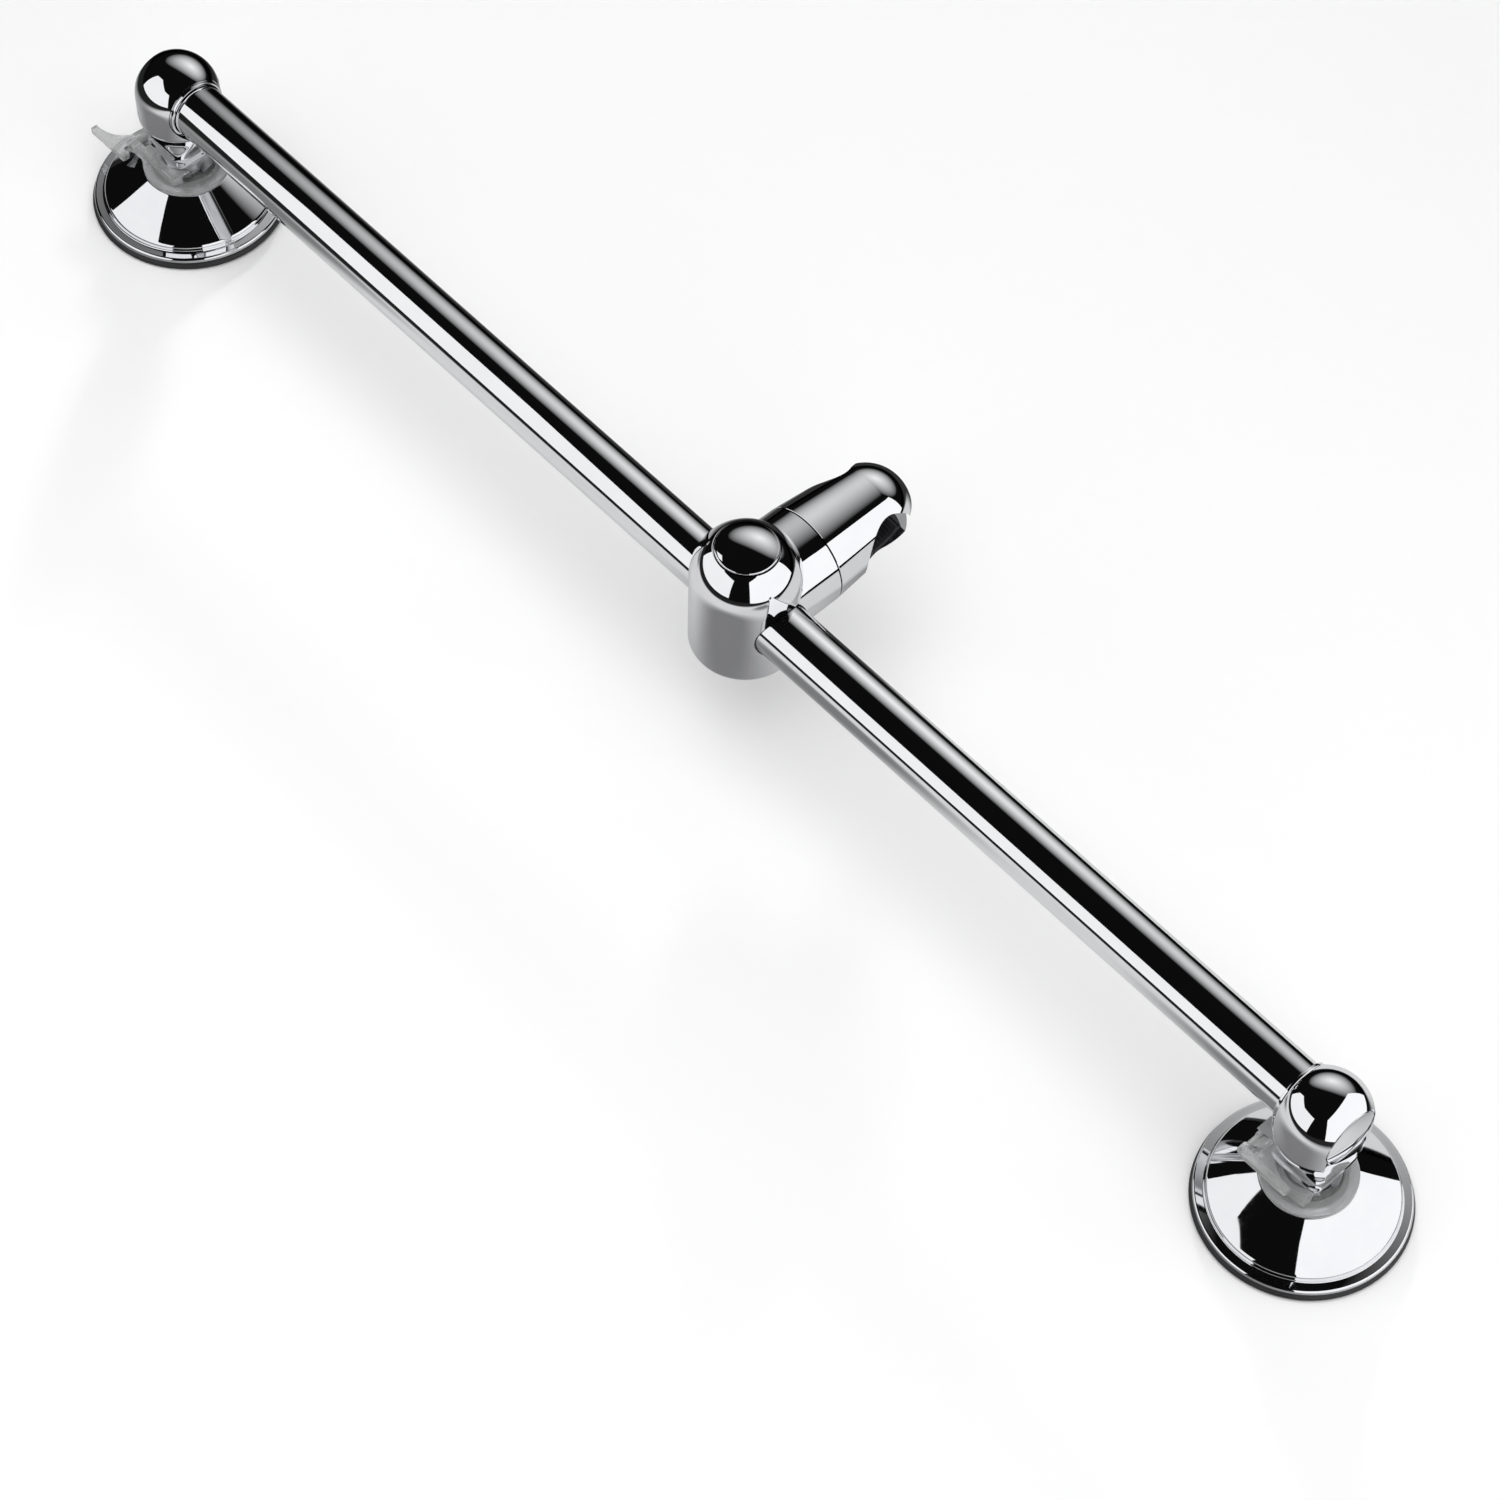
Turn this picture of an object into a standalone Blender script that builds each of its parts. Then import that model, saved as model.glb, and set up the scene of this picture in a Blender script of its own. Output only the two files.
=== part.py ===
"""Suction grab bar with a sliding hand-shower holder.

Lengths are in millimetres here and become metres when a mesh is made.
X runs along the rail, +Y along the holder's arm, +Z away from the wall (z = 0).
"""
import math

import bmesh
import bpy
from mathutils import Matrix, Vector

MM = 0.001

# ---- driving dimensions -------------------------------------------------
FOOT_SPACING = 611.0        # distance between the two posts
RAIL_HEIGHT = 60.9          # rail axis above the wall
TUBE_RADIUS = 11.0
TUBE_WALL = 1.2

CUP_RADIUS = 39.3           # rubber ring, the widest part of a foot
RIM_RADIUS = 38.3           # chrome rim of the base shell
CONE_FOOT = (33.4, 8.0)     # radius and height where the cone starts
CONE_TOP = (17.4, 19.2)     # radius and height where the cone ends
SHELL_WALL = 1.5

POST_RADIUS = 16.6          # dome of the post, centred on the rail
POST_BOTTOM = 32.0
POST_SQUARE = 11.3          # half side of the post's square lower end
POST_FLAT = 12.0            # flat face round the plug, from the post's axis
SWELL_LOW = 35.0            # heights between which the square widens into the round
SWELL_HIGH = 51.9
NECK_RADIUS = 9.5
NECK_BOTTOM = 23.1
NECK_BORE = 6.3
GRUB_RADIUS = 2.0           # set screw that holds the tube in the post
GRUB_SETBACK = 4.5          # from the post's axis, towards the tube

LATCH_HALF_WIDTH = 12.6     # clear latch block, across the hinge
LATCH_FRONT = 8.5           # its end away from the hinge
LATCH_TOP = 24.6
HINGE_X = -19.5             # lever hinge, from the post's axis
HINGE_Z = 22.0
PIN_RADIUS = 1.0
CAM_RADIUS = 2.3
CAM_OFFSET = 0.8
LIFT = 2.0 * CAM_OFFSET     # how far a closed lever pulls the cup's middle
WING_TIP = 41.5             # reach of the open lever from the post's axis
WING_HALF_WIDTH = 16.3
WING_NOTCH = 13.4
NOTCH_CENTRE = -20.5        # centre of the notch, from the hinge, lever open
WING_TOP = 28.8             # upper face of the closed lever
WING_THICKNESS = 2.4

SLIDER_X = 21.0             # where the slider stands on the rail
SLIDER_RADIUS = 20.6
SLIDER_DOME = 13.5          # centre of the dome above the rail axis
SLIDER_FLOOR = -24.5        # lower end below the rail axis
BUTTON_RADIUS = 11.9
ARM_SPLIT = 29.0            # end of the fixed arm, start of the turning holder
ARM_END_CENTRE = 59.5       # centre of the holder's round end
ARM_SPLIT_RADIUS = 19.9
ARM_END_RADIUS = 17.2
HOLDER_BORE = 13.07         # hand-shower bore with its liner's wall
HOLDER_BORE_Y = 56.0
HOLDER_TILT = 9.0          # degrees that the bore leans about the arm
HOLDER_SLOT = 5.5           # half width of the hose slot

SPIGOT_RADIUS = 13.7        # clear block's spigot through the shell
SPIGOT_BOTTOM = 13.6
COLLAR_BOTTOM = 19.5
POCKET_FLOOR = 19.6
PIN_HOLE = 1.25
STEM_RADIUS = 2.6
STEM_BORE = 3.4
THREAD_RADIUS = 2.0

WELL_RADIUS = 12.2          # seat of the slider's button
WEB_TOP = 23.4              # floor under the button's spring
WEB_BOTTOM = 20.9
CAP_SEAT = -21.0
CAP_RECESS = 16.0
BUSH_RADIUS = 12.6
FRICTION_RADIUS = 14.7
PIVOT_RADIUS = 2.6
SCREW_HEAD = 5.0

GAP = 0.3                   # air between pieces that touch
FINE = 40                   # facets round a large turned piece
MEDIUM = 28
COARSE = 16

ARM_REACH = ARM_END_CENTRE + math.sqrt(ARM_END_RADIUS ** 2 - HOLDER_SLOT ** 2)
RAIL_Y = (CUP_RADIUS - ARM_REACH) / 2.0
RAIL_X = (WING_TIP - CUP_RADIUS) / 2.0
HALF = FOOT_SPACING / 2.0

COLOURS = {
    "chrome": ((0.78, 0.79, 0.80), 0.08, 1.0),
    "steel": ((0.60, 0.61, 0.63), 0.30, 1.0),
    "rubber": ((0.03, 0.03, 0.03), 0.60, 0.0),
    "clear": ((0.80, 0.84, 0.86), 0.10, 0.0),
    "plastic": ((0.06, 0.06, 0.07), 0.45, 0.0),
    "white_plastic": ((0.75, 0.75, 0.73), 0.40, 0.0),
}


# ---- mesh helpers ---------------------------------------------------------
def material_for(name, finish):
    colour, roughness, metallic = COLOURS[finish]
    material = bpy.data.materials.new(name)
    material.use_nodes = True
    shader = material.node_tree.nodes["Principled BSDF"]
    shader.inputs["Base Color"].default_value = (*colour, 1.0)
    shader.inputs["Roughness"].default_value = roughness
    shader.inputs["Metallic"].default_value = metallic
    material.diffuse_color = (*colour, 1.0)
    return material


def make(name, bm, finish=None, parent=None, at=(0.0, 0.0, 0.0)):
    """Turn a bmesh in millimetres into an object in metres."""
    bmesh.ops.remove_doubles(bm, verts=bm.verts, dist=1e-4)
    bmesh.ops.recalc_face_normals(bm, faces=bm.faces)
    bmesh.ops.scale(bm, vec=(MM, MM, MM), verts=bm.verts)
    mesh = bpy.data.meshes.new(name)
    bm.to_mesh(mesh)
    bm.free()
    piece = bpy.data.objects.new(name, mesh)
    bpy.context.scene.collection.objects.link(piece)
    if finish:
        mesh.materials.append(material_for(name, finish))
        mesh.shade_smooth()
        mesh.set_sharp_from_angle(angle=math.radians(35.0))
    piece.parent = parent
    piece.location = Vector(at) * MM
    return piece


def axis_empty(name, at, parent=None):
    """An empty on a joint's axis, for the pieces that move with it."""
    empty = bpy.data.objects.new(name, None)
    bpy.context.scene.collection.objects.link(empty)
    empty.parent = parent
    empty.location = Vector(at) * MM
    return empty


def arc(centre, radius, start, end, steps):
    """Points of an arc in a profile plane, angles in degrees."""
    points = []
    for i in range(steps + 1):
        angle = math.radians(start + (end - start) * i / steps)
        points.append((centre[0] + radius * math.cos(angle), centre[1] + radius * math.sin(angle)))
    return points


def turned(profile, facets, axis="Z"):
    """A closed (radius, height) profile turned about Z, then laid along an axis."""
    bm = bmesh.new()
    rings = []
    for i in range(facets):
        angle = 2.0 * math.pi * i / facets
        turn = (math.cos(angle), math.sin(angle))
        rings.append([bm.verts.new((r * turn[0], r * turn[1], z)) for r, z in profile])
    count = len(profile)
    for i in range(facets):
        here, following = rings[i], rings[(i + 1) % facets]
        for j in range(count):
            k = (j + 1) % count
            if profile[j][0] < 1e-6 and profile[k][0] < 1e-6:
                continue
            bm.faces.new((here[j], here[k], following[k], following[j]))
    bmesh.ops.remove_doubles(bm, verts=bm.verts, dist=1e-4)
    lay(bm, axis)
    return bm


def lay(bm, axis):
    """Turn a shape built along Z so that it runs along +X or +Y."""
    turns = {"X": ("Y", 90.0), "Y": ("X", -90.0)}
    if axis in turns:
        about, angle = turns[axis]
        bmesh.ops.rotate(bm, verts=bm.verts, matrix=Matrix.Rotation(math.radians(angle), 3, about))


def rod(radius, low, high, facets, axis="Z"):
    return turned([(0.0, low), (radius, low), (radius, high), (0.0, high)], facets, axis)


def ring(inner, outer, low, high, facets, axis="Z"):
    return turned([(inner, low), (outer, low), (outer, high), (inner, high)], facets, axis)


def block(x, y, z):
    bm = bmesh.new()
    bmesh.ops.create_cube(bm, size=1.0)
    size = (x[1] - x[0], y[1] - y[0], z[1] - z[0])
    middle = ((x[0] + x[1]) / 2.0, (y[0] + y[1]) / 2.0, (z[0] + z[1]) / 2.0)
    bmesh.ops.scale(bm, vec=size, verts=bm.verts)
    bmesh.ops.translate(bm, vec=middle, verts=bm.verts)
    return bm


def prism(outline, low, high, axis="Z"):
    """A flat outline in XY raised from one height to another."""
    bm = bmesh.new()
    bottom = [bm.verts.new((x, y, low)) for x, y in outline]
    top = [bm.verts.new((x, y, high)) for x, y in outline]
    bm.faces.new(list(reversed(bottom)))
    bm.faces.new(top)
    for i in range(len(outline)):
        k = (i + 1) % len(outline)
        bm.faces.new((bottom[i], bottom[k], top[k], top[i]))
    if axis == "Y":
        bmesh.ops.rotate(bm, verts=bm.verts, matrix=Matrix.Rotation(math.radians(90.0), 3, "X"))
    return bm


def moved(bm, at):
    bmesh.ops.translate(bm, vec=at, verts=bm.verts)
    return bm


def combine(piece, shapes, operation):
    """Add or cut a list of bmeshes, in the piece's own frame."""
    for bm in shapes:
        number = len(piece.modifiers)
        tool = make(f"{piece.name}_tool_{number}", bm, parent=piece.parent)
        tool.location = piece.location
        tool.hide_render = True
        tool.display_type = "WIRE"
        modifier = piece.modifiers.new(f"shape_{number}", "BOOLEAN")
        modifier.operation = operation
        modifier.solver = "EXACT"
        modifier.object = tool


def coil(name, radius, wire, low, high, turns, finish, parent, at=(0.0, 0.0, 0.0)):
    """A compression spring about Z, swept as one closed tube."""
    bm = bmesh.new()
    around = 5
    along = int(turns * 12)
    rings = []
    for i in range(along + 1):
        angle = 2.0 * math.pi * turns * i / along
        height = low + wire + (high - low - 2.0 * wire) * i / along
        outward = Vector((math.cos(angle), math.sin(angle), 0.0))
        centre = outward * radius + Vector((0.0, 0.0, height))
        section = []
        for j in range(around):
            turn = 2.0 * math.pi * j / around
            offset = outward * math.cos(turn) + Vector((0.0, 0.0, math.sin(turn)))
            section.append(bm.verts.new(centre + offset * wire))
        rings.append(section)
    for i in range(along):
        for j in range(around):
            k = (j + 1) % around
            bm.faces.new((rings[i][j], rings[i][k], rings[i + 1][k], rings[i + 1][j]))
    bm.faces.new(rings[0])
    bm.faces.new(rings[-1])
    return make(name, bm, finish, parent, at)


def hexagon(radius, low, high, facets_hole, hole):
    """A nut: hexagonal outside, round hole."""
    bm = bmesh.new()
    levels = []
    for z in (low, high):
        outer = []
        inner = []
        for i in range(facets_hole):
            angle = 2.0 * math.pi * i / facets_hole
            flat = math.radians(60.0)
            local = (angle % flat) - flat / 2.0
            reach = radius * math.cos(flat / 2.0) / math.cos(local)
            outer.append(bm.verts.new((reach * math.cos(angle), reach * math.sin(angle), z)))
            inner.append(bm.verts.new((hole * math.cos(angle), hole * math.sin(angle), z)))
        levels.append((outer, inner))
    for i in range(facets_hole):
        k = (i + 1) % facets_hole
        (low_out, low_in), (high_out, high_in) = levels
        bm.faces.new((low_out[i], low_out[k], high_out[k], high_out[i]))
        bm.faces.new((low_in[i], low_in[k], high_in[k], high_in[i]))
        bm.faces.new((low_out[i], low_out[k], low_in[k], low_in[i]))
        bm.faces.new((high_out[i], high_out[k], high_in[k], high_in[i]))
    return bm


# ---- rail and posts ---------------------------------------------------------
def rail_tube():
    bm = ring(TUBE_RADIUS - TUBE_WALL, TUBE_RADIUS, -HALF, HALF, FINE, "X")
    make("rail_tube", bm, "chrome", None, (RAIL_X, RAIL_Y, RAIL_HEIGHT))


def post_section(height):
    """Half width and squareness of the post's lower part at a height."""
    share = (height - SWELL_LOW) / (SWELL_HIGH - SWELL_LOW)
    share = min(max(share, 0.0), 1.0)
    swell = share * share * (3.0 - 2.0 * share)
    return POST_SQUARE + (POST_RADIUS - POST_SQUARE) * swell, (1.0 - swell) ** 2.5


def post_ring(bm, height, half_width, square):
    """A section between a circle (square = 0) and a rounded square (square = 1)."""
    exponent = 2.0 + 5.0 * square
    points = []
    for i in range(FINE):
        angle = 2.0 * math.pi * (i + 0.5) / FINE
        c, s = math.cos(angle), math.sin(angle)
        reach = (abs(c) ** exponent + abs(s) ** exponent) ** (-1.0 / exponent)
        points.append(bm.verts.new((half_width * reach * c, half_width * reach * s, height)))
    return points


def post_body():
    """Square at its lower end, round at the rail, closed by a dome, with a hollow neck below."""
    bm = bmesh.new()
    groove = NECK_RADIUS - 0.8
    neck = [(NECK_BORE, 33.0), (NECK_BORE, NECK_BOTTOM), (NECK_RADIUS, NECK_BOTTOM), (NECK_RADIUS, 23.3),
            (groove, 23.3), (groove, 24.3), (NECK_RADIUS, 24.3), (NECK_RADIUS, POST_BOTTOM)]
    rings = [post_ring(bm, height, radius, 0.0) for radius, height in neck]
    levels = 6
    top_of_loft = RAIL_HEIGHT - 2.0
    for step in range(levels + 1):
        height = POST_BOTTOM + (top_of_loft - POST_BOTTOM) * step / levels
        half_width, square = post_section(height)
        rings.append(post_ring(bm, height, half_width, square))
    dome_steps = 6
    for step in range(dome_steps):
        angle = math.radians(85.0 * step / (dome_steps - 1))
        radius = POST_RADIUS * math.cos(angle)
        height = RAIL_HEIGHT + POST_RADIUS * math.sin(angle)
        rings.append(post_ring(bm, height, radius, 0.0))
    for lower, upper in zip(rings, rings[1:]):
        for i in range(FINE):
            k = (i + 1) % FINE
            bm.faces.new((lower[i], lower[k], upper[k], upper[i]))
    bm.faces.new(list(reversed(rings[0])))
    bm.faces.new(rings[-1])
    return bm


def build_post(side, x, outward):
    """outward is +1 or -1: the plug's side along X."""
    at = (x, RAIL_Y, 0.0)
    post = make(f"post_{side}", post_body(), "chrome", None, at)
    tube_seat = TUBE_RADIUS + GAP
    stepped_bore = [(0.0, -24.0), (12.7, -24.0), (12.7, -8.2), (tube_seat, -8.2), (tube_seat, 1.0),
                    (9.3, 1.0), (9.3, 10.6), (11.9, 10.6), (11.9, 24.0), (0.0, 24.0)]
    centre = (x, RAIL_Y, RAIL_HEIGHT)
    bore = turned(stepped_bore, MEDIUM, "X")
    screw_hole = rod(GRUB_RADIUS + GAP, 9.0, 24.0, COARSE, "Y")
    screw_x = -GRUB_SETBACK * outward
    crown = arc((0.0, -25.3), 38.6, 90.0, 72.83, 4)
    crown[0] = (0.0, crown[0][1])
    plug = turned(crown + [(11.4, 10.9), (9.0, 10.9), (9.0, 6.0), (0.0, 6.0)], MEDIUM, "X")
    collar = ring(TUBE_RADIUS + GAP, 12.4, 8.5, 12.4, MEDIUM, "X")
    for bm, faces_inward in ((bore, False), (plug, False), (collar, True)):
        if faces_inward == (outward > 0):
            bmesh.ops.rotate(bm, verts=bm.verts, matrix=Matrix.Rotation(math.pi, 3, "Z"))
    flat_ends = sorted((outward * POST_FLAT, outward * 24.0))
    flat = block(flat_ends, (-24.0, 24.0), (20.0, 90.0))
    cutters = [moved(bore, (0.0, 0.0, RAIL_HEIGHT)), moved(screw_hole, (screw_x, 0.0, RAIL_HEIGHT)), flat]
    combine(post, cutters, "DIFFERENCE")
    make(f"post_plug_{side}", plug, "chrome", None, centre)
    make(f"tube_collar_{side}", collar, "chrome", None, centre)
    grub = moved(rod(GRUB_RADIUS, TUBE_RADIUS + 0.4, 15.6, COARSE, "Y"), (screw_x, 0.0, 0.0))
    screw = make(f"grub_screw_{side}", grub, "steel", None, centre)
    combine(screw, [moved(hex_socket(1.2, 13.6, 17.0), (screw_x, 0.0, 0.0))], "DIFFERENCE")

    clip = [(9.05, -0.35), (11.2, -0.35), (11.2, 0.35), (9.05, 0.35)]
    make(f"neck_clip_{side}", open_ring(clip, 330.0, MEDIUM), "steel", None, (x, RAIL_Y, 23.8))


def hex_socket(radius, low, high):
    outline = [(radius * math.cos(math.radians(60.0 * i)), radius * math.sin(math.radians(60.0 * i)))
               for i in range(6)]
    bm = prism(outline, low, high)
    lay(bm, "Y")
    return bm


def open_ring(profile, degrees, facets):
    """A profile swept part of the way round Z, with closed ends."""
    bm = bmesh.new()
    rings = []
    for i in range(facets + 1):
        angle = math.radians(degrees * i / facets)
        turn = (math.cos(angle), math.sin(angle))
        rings.append([bm.verts.new((r * turn[0], r * turn[1], z)) for r, z in profile])
    count = len(profile)
    for first, second in zip(rings, rings[1:]):
        for j in range(count):
            k = (j + 1) % count
            bm.faces.new((first[j], first[k], second[k], second[j]))
    bm.faces.new(rings[0])
    bm.faces.new(rings[-1])
    return bm


# ---- suction feet -----------------------------------------------------------
def base_shell_profile():
    """Chrome cover: rim, step and cone, hollow underneath."""
    top_radius, top = CONE_TOP
    low_radius, low = CONE_FOOT
    outside = [
        (RIM_RADIUS, 3.2),
        (RIM_RADIUS, 4.2),
        (RIM_RADIUS - 0.8, 5.0),
        (low_radius + 1.4, 5.3),
        (low_radius + 0.8, 5.9),
        (low_radius + 0.6, 7.2),
        (low_radius, low),
        (top_radius, top),
        (SPIGOT_RADIUS + 0.4, top),
    ]
    inside = [
        (SPIGOT_RADIUS + 0.4, top - SHELL_WALL),
        (top_radius - 0.6, top - SHELL_WALL),
        (low_radius - 1.3, low - 1.0),
        (low_radius - 0.8, 3.8),
        (RIM_RADIUS - 1.4, 3.6),
        (RIM_RADIUS - 1.4, 3.2),
    ]
    return outside + inside


def suction_cup_profile(lift):
    """Rubber cup with a flat sealing ring, its middle drawn up by the lift."""
    middle = 2.4 + lift
    crown = middle + 2.5
    lower = [(0.0, middle), (9.0, middle), (26.0, 2.4), (30.0, 1.2), (31.5, 0.0), (38.6, 0.0)]
    edge = [(39.1, 0.5), (CUP_RADIUS, 1.4), (39.0, 2.3), (38.3, 2.9)]
    upper = [(33.0, 2.9), (31.2, 3.6), (30.2, 4.9), (27.0, 5.1), (10.2, crown), (0.0, crown)]
    return lower + edge + upper


def latch_base(side, foot):
    """Clear block: a round collar on the cone, lugs for the lever, a pocket for the neck."""
    half = LATCH_HALF_WIDTH
    collar_radius = CONE_TOP[0]
    turned_part = [
        (0.0, SPIGOT_BOTTOM),
        (SPIGOT_RADIUS, SPIGOT_BOTTOM),
        (SPIGOT_RADIUS, COLLAR_BOTTOM),
        (collar_radius, COLLAR_BOTTOM),
        (collar_radius, COLLAR_BOTTOM + 1.9),
        (0.0, COLLAR_BOTTOM + 1.9),
    ]
    base = make(f"latch_base_{side}", turned(turned_part, MEDIUM), "clear", foot)
    walls = block((HINGE_X, LATCH_FRONT), (-half, half), (COLLAR_BOTTOM + 0.7, LATCH_TOP))
    lugs = moved(rod(2.8, -half, half, COARSE, "Y"), (HINGE_X, 0.0, HINGE_Z))
    combine(base, [walls, lugs], "UNION")
    stepped_pocket = [(0.0, 10.0), (STEM_BORE, 10.0), (STEM_BORE, POCKET_FLOOR),
                      (11.9, POCKET_FLOOR), (11.9, 30.0), (0.0, 30.0)]
    pocket = turned(stepped_pocket, MEDIUM)
    lever_room = block((-26.0, -13.2), (-9.4, 9.4), (SPIGOT_BOTTOM + 3.4, 30.0))
    web_room = block((-14.0, -11.0), (-9.4, 9.4), (21.8, 30.0))
    arm_slot = block((-14.0, -10.5), (-4.2, 4.2), (POCKET_FLOOR, 30.0))
    pin_hole = moved(rod(PIN_HOLE, -half - 2.0, half + 2.0, COARSE, "Y"), (HINGE_X, 0.0, HINGE_Z))
    combine(base, [pocket, lever_room, web_room, arm_slot, pin_hole], "DIFFERENCE")


def latch_cover(side, foot):
    """Clear lid that holds the post's neck in the latch block."""
    half = LATCH_HALF_WIDTH
    plate = block((-half, LATCH_FRONT), (-half, half), (LATCH_TOP + GAP, WING_TOP - WING_THICKNESS - GAP))
    cover = make(f"latch_cover_{side}", plate, "clear", foot)
    combine(cover, [rod(NECK_RADIUS + GAP, 20.0, 30.0, MEDIUM)], "DIFFERENCE")


def wing_outline():
    """Top view of the open lever's wing, from the hinge: two arms beside the latch, horns, round notch."""
    tip = -WING_TIP - HINGE_X
    inside = LATCH_HALF_WIDTH + GAP
    near_side = [(-5.0, inside), (-1.0, inside), (-1.0, WING_HALF_WIDTH), (tip, WING_HALF_WIDTH), (tip, WING_NOTCH)]
    notch = arc((NOTCH_CENTRE, 0.0), WING_NOTCH, 90.0, -90.0, 16)
    far_side = [(x, -y) for x, y in reversed(near_side)]
    return near_side + notch + far_side


def lever(side, hinge, closed):
    """Clear flip lever; its eccentric barrel raises the lift arm as it is turned over."""
    low = 2.0 * HINGE_Z - WING_TOP - HINGE_Z
    high = low + WING_THICKNESS
    piece = make(f"lever_{side}", prism(wing_outline(), low, high), "clear", hinge)
    web_top, web_foot = high - GAP, low + GAP
    web_side = [(0.4, 1.7), (-1.6, 1.2), (-5.2, web_top), (-7.8, web_top), (-7.8, web_foot), (-5.1, web_foot),
                (0.4, -1.8)]
    added = []
    for inner, outer in ((-9.1, -3.9), (3.9, 9.1)):
        added.append(prism(web_side, -outer, -inner, "Y"))
        added.append(rod(2.1, inner + 0.05, outer - 0.05, COARSE, "Y"))
    added.append(moved(rod(CAM_RADIUS, -4.2, 4.2, COARSE, "Y"), (0.0, 0.0, -CAM_OFFSET)))
    cutters = [rod(PIN_HOLE, -20.0, 20.0, COARSE, "Y")]
    if closed:
        half_turn = Matrix.Rotation(math.pi, 3, "Y")
        for bm in added + cutters:
            bmesh.ops.rotate(bm, verts=bm.verts, matrix=half_turn)
        piece.data.transform(half_turn.to_4x4())
    combine(piece, added, "UNION")
    combine(piece, cutters, "DIFFERENCE")


def lift_arm(side, foot, lift):
    """Flat arm on the stem; its tongue lies over the lever's eccentric."""
    plate_low = POCKET_FLOOR + GAP
    plate_high = plate_low + 1.2
    tongue_low = HINGE_Z + CAM_RADIUS - CAM_OFFSET + GAP
    tongue_high = tongue_low + 0.7
    outline = [
        (5.0, plate_low),
        (5.0, plate_high),
        (-13.6, plate_high),
        (-13.6, tongue_high),
        (-22.0, tongue_high),
        (-22.0, tongue_low),
        (-14.6, tongue_low),
        (-14.6, plate_low),
    ]
    arm = make(f"lift_arm_{side}", prism(outline, -3.5, 3.5, "Y"), "steel", foot, (0.0, 0.0, lift))
    combine(arm, [rod(THREAD_RADIUS + GAP, 10.0, 30.0, COARSE)], "DIFFERENCE")


def pull_stem_profile():
    shoulder = POCKET_FLOOR
    return [
        (0.0, 5.2),
        (9.0, 5.2),
        (9.0, 7.0),
        (STEM_RADIUS, 7.0),
        (STEM_RADIUS, shoulder),
        (THREAD_RADIUS, shoulder),
        (THREAD_RADIUS, shoulder + 5.6),
        (0.0, shoulder + 5.6),
    ]


def build_foot(side, x, closed):
    """One suction foot. A closed lever has drawn its cup up by the lift."""
    lift = LIFT if closed else 0.0
    foot = axis_empty(f"foot_axis_{side}", (x, RAIL_Y, 0.0))
    make(f"base_shell_{side}", turned(base_shell_profile(), FINE), "chrome", foot)
    make(f"suction_cup_{side}", turned(suction_cup_profile(lift), FINE), "rubber", foot)
    latch_base(side, foot)
    latch_cover(side, foot)
    nut = ring(SPIGOT_RADIUS + GAP, 16.8, SPIGOT_BOTTOM + 0.4, CONE_TOP[1] - SHELL_WALL - GAP, MEDIUM)
    make(f"latch_nut_{side}", nut, "steel", foot)
    make(f"pull_stem_{side}", turned(pull_stem_profile(), MEDIUM), "steel", foot, (0.0, 0.0, lift))
    lift_arm(side, foot, lift)
    stem_nut = hexagon(5.2, POCKET_FLOOR + 1.8, POCKET_FLOOR + 4.6, 24, THREAD_RADIUS + GAP)
    make(f"stem_nut_{side}", stem_nut, "steel", foot, (0.0, 0.0, lift))
    coil(f"cup_spring_{side}", 5.2, 0.5, 7.3 + lift, SPIGOT_BOTTOM - GAP, 3, "steel", foot)
    hinge = axis_empty(f"lever_hinge_{side}", (HINGE_X, 0.0, HINGE_Z), foot)
    pin_half = LATCH_HALF_WIDTH - 0.2
    make(f"lever_pin_{side}", rod(PIN_RADIUS, -pin_half, pin_half, COARSE, "Y"), "steel", hinge)
    lever(side, hinge, closed)


# ---- sliding hand-shower holder ---------------------------------------------
def slider_body(centre):
    """Upright capsule on the rail with a stub arm, hollow for the bushes and the grip loop."""
    dome_edge = math.degrees(math.acos(WELL_RADIUS / SLIDER_RADIUS))
    lower = [(0.0, CAP_SEAT), (CAP_RECESS, CAP_SEAT), (CAP_RECESS, SLIDER_FLOOR)]
    corner = arc((SLIDER_RADIUS - 3.5, SLIDER_FLOOR + 3.5), 3.5, -90.0, 0.0, 4)
    dome = arc((0.0, SLIDER_DOME), SLIDER_RADIUS, 0.0, dome_edge, 7)
    well = [(WELL_RADIUS, 25.8), (11.5, 25.8), (11.5, WEB_TOP), (0.0, WEB_TOP)]
    body = make("slider_body", turned(lower + corner + dome + well, FINE), "chrome", None, centre)
    arm = turned([(0.0, 2.0), (20.3, 2.0), (ARM_SPLIT_RADIUS, ARM_SPLIT), (0.0, ARM_SPLIT)], FINE, "Y")
    combine(body, [arm], "UNION")
    hole, seat = PIVOT_RADIUS + GAP, FRICTION_RADIUS + GAP
    pivot_seat = [(0.0, 17.0), (hole, 17.0), (hole, ARM_SPLIT - 1.4), (seat, ARM_SPLIT - 1.4),
                  (seat, ARM_SPLIT + 5.0), (0.0, ARM_SPLIT + 5.0)]
    cutters = [
        rod(BUSH_RADIUS + GAP, -30.0, 30.0, MEDIUM, "X"),
        block((-5.6, 5.6), (-14.7, 14.7), (CAP_SEAT - 1.0, WEB_BOTTOM)),
        rod(4.0, WEB_BOTTOM - 1.0, WEB_TOP + 1.0, COARSE),
        turned(pivot_seat, MEDIUM, "Y"),
    ]
    combine(body, cutters, "DIFFERENCE")


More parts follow.
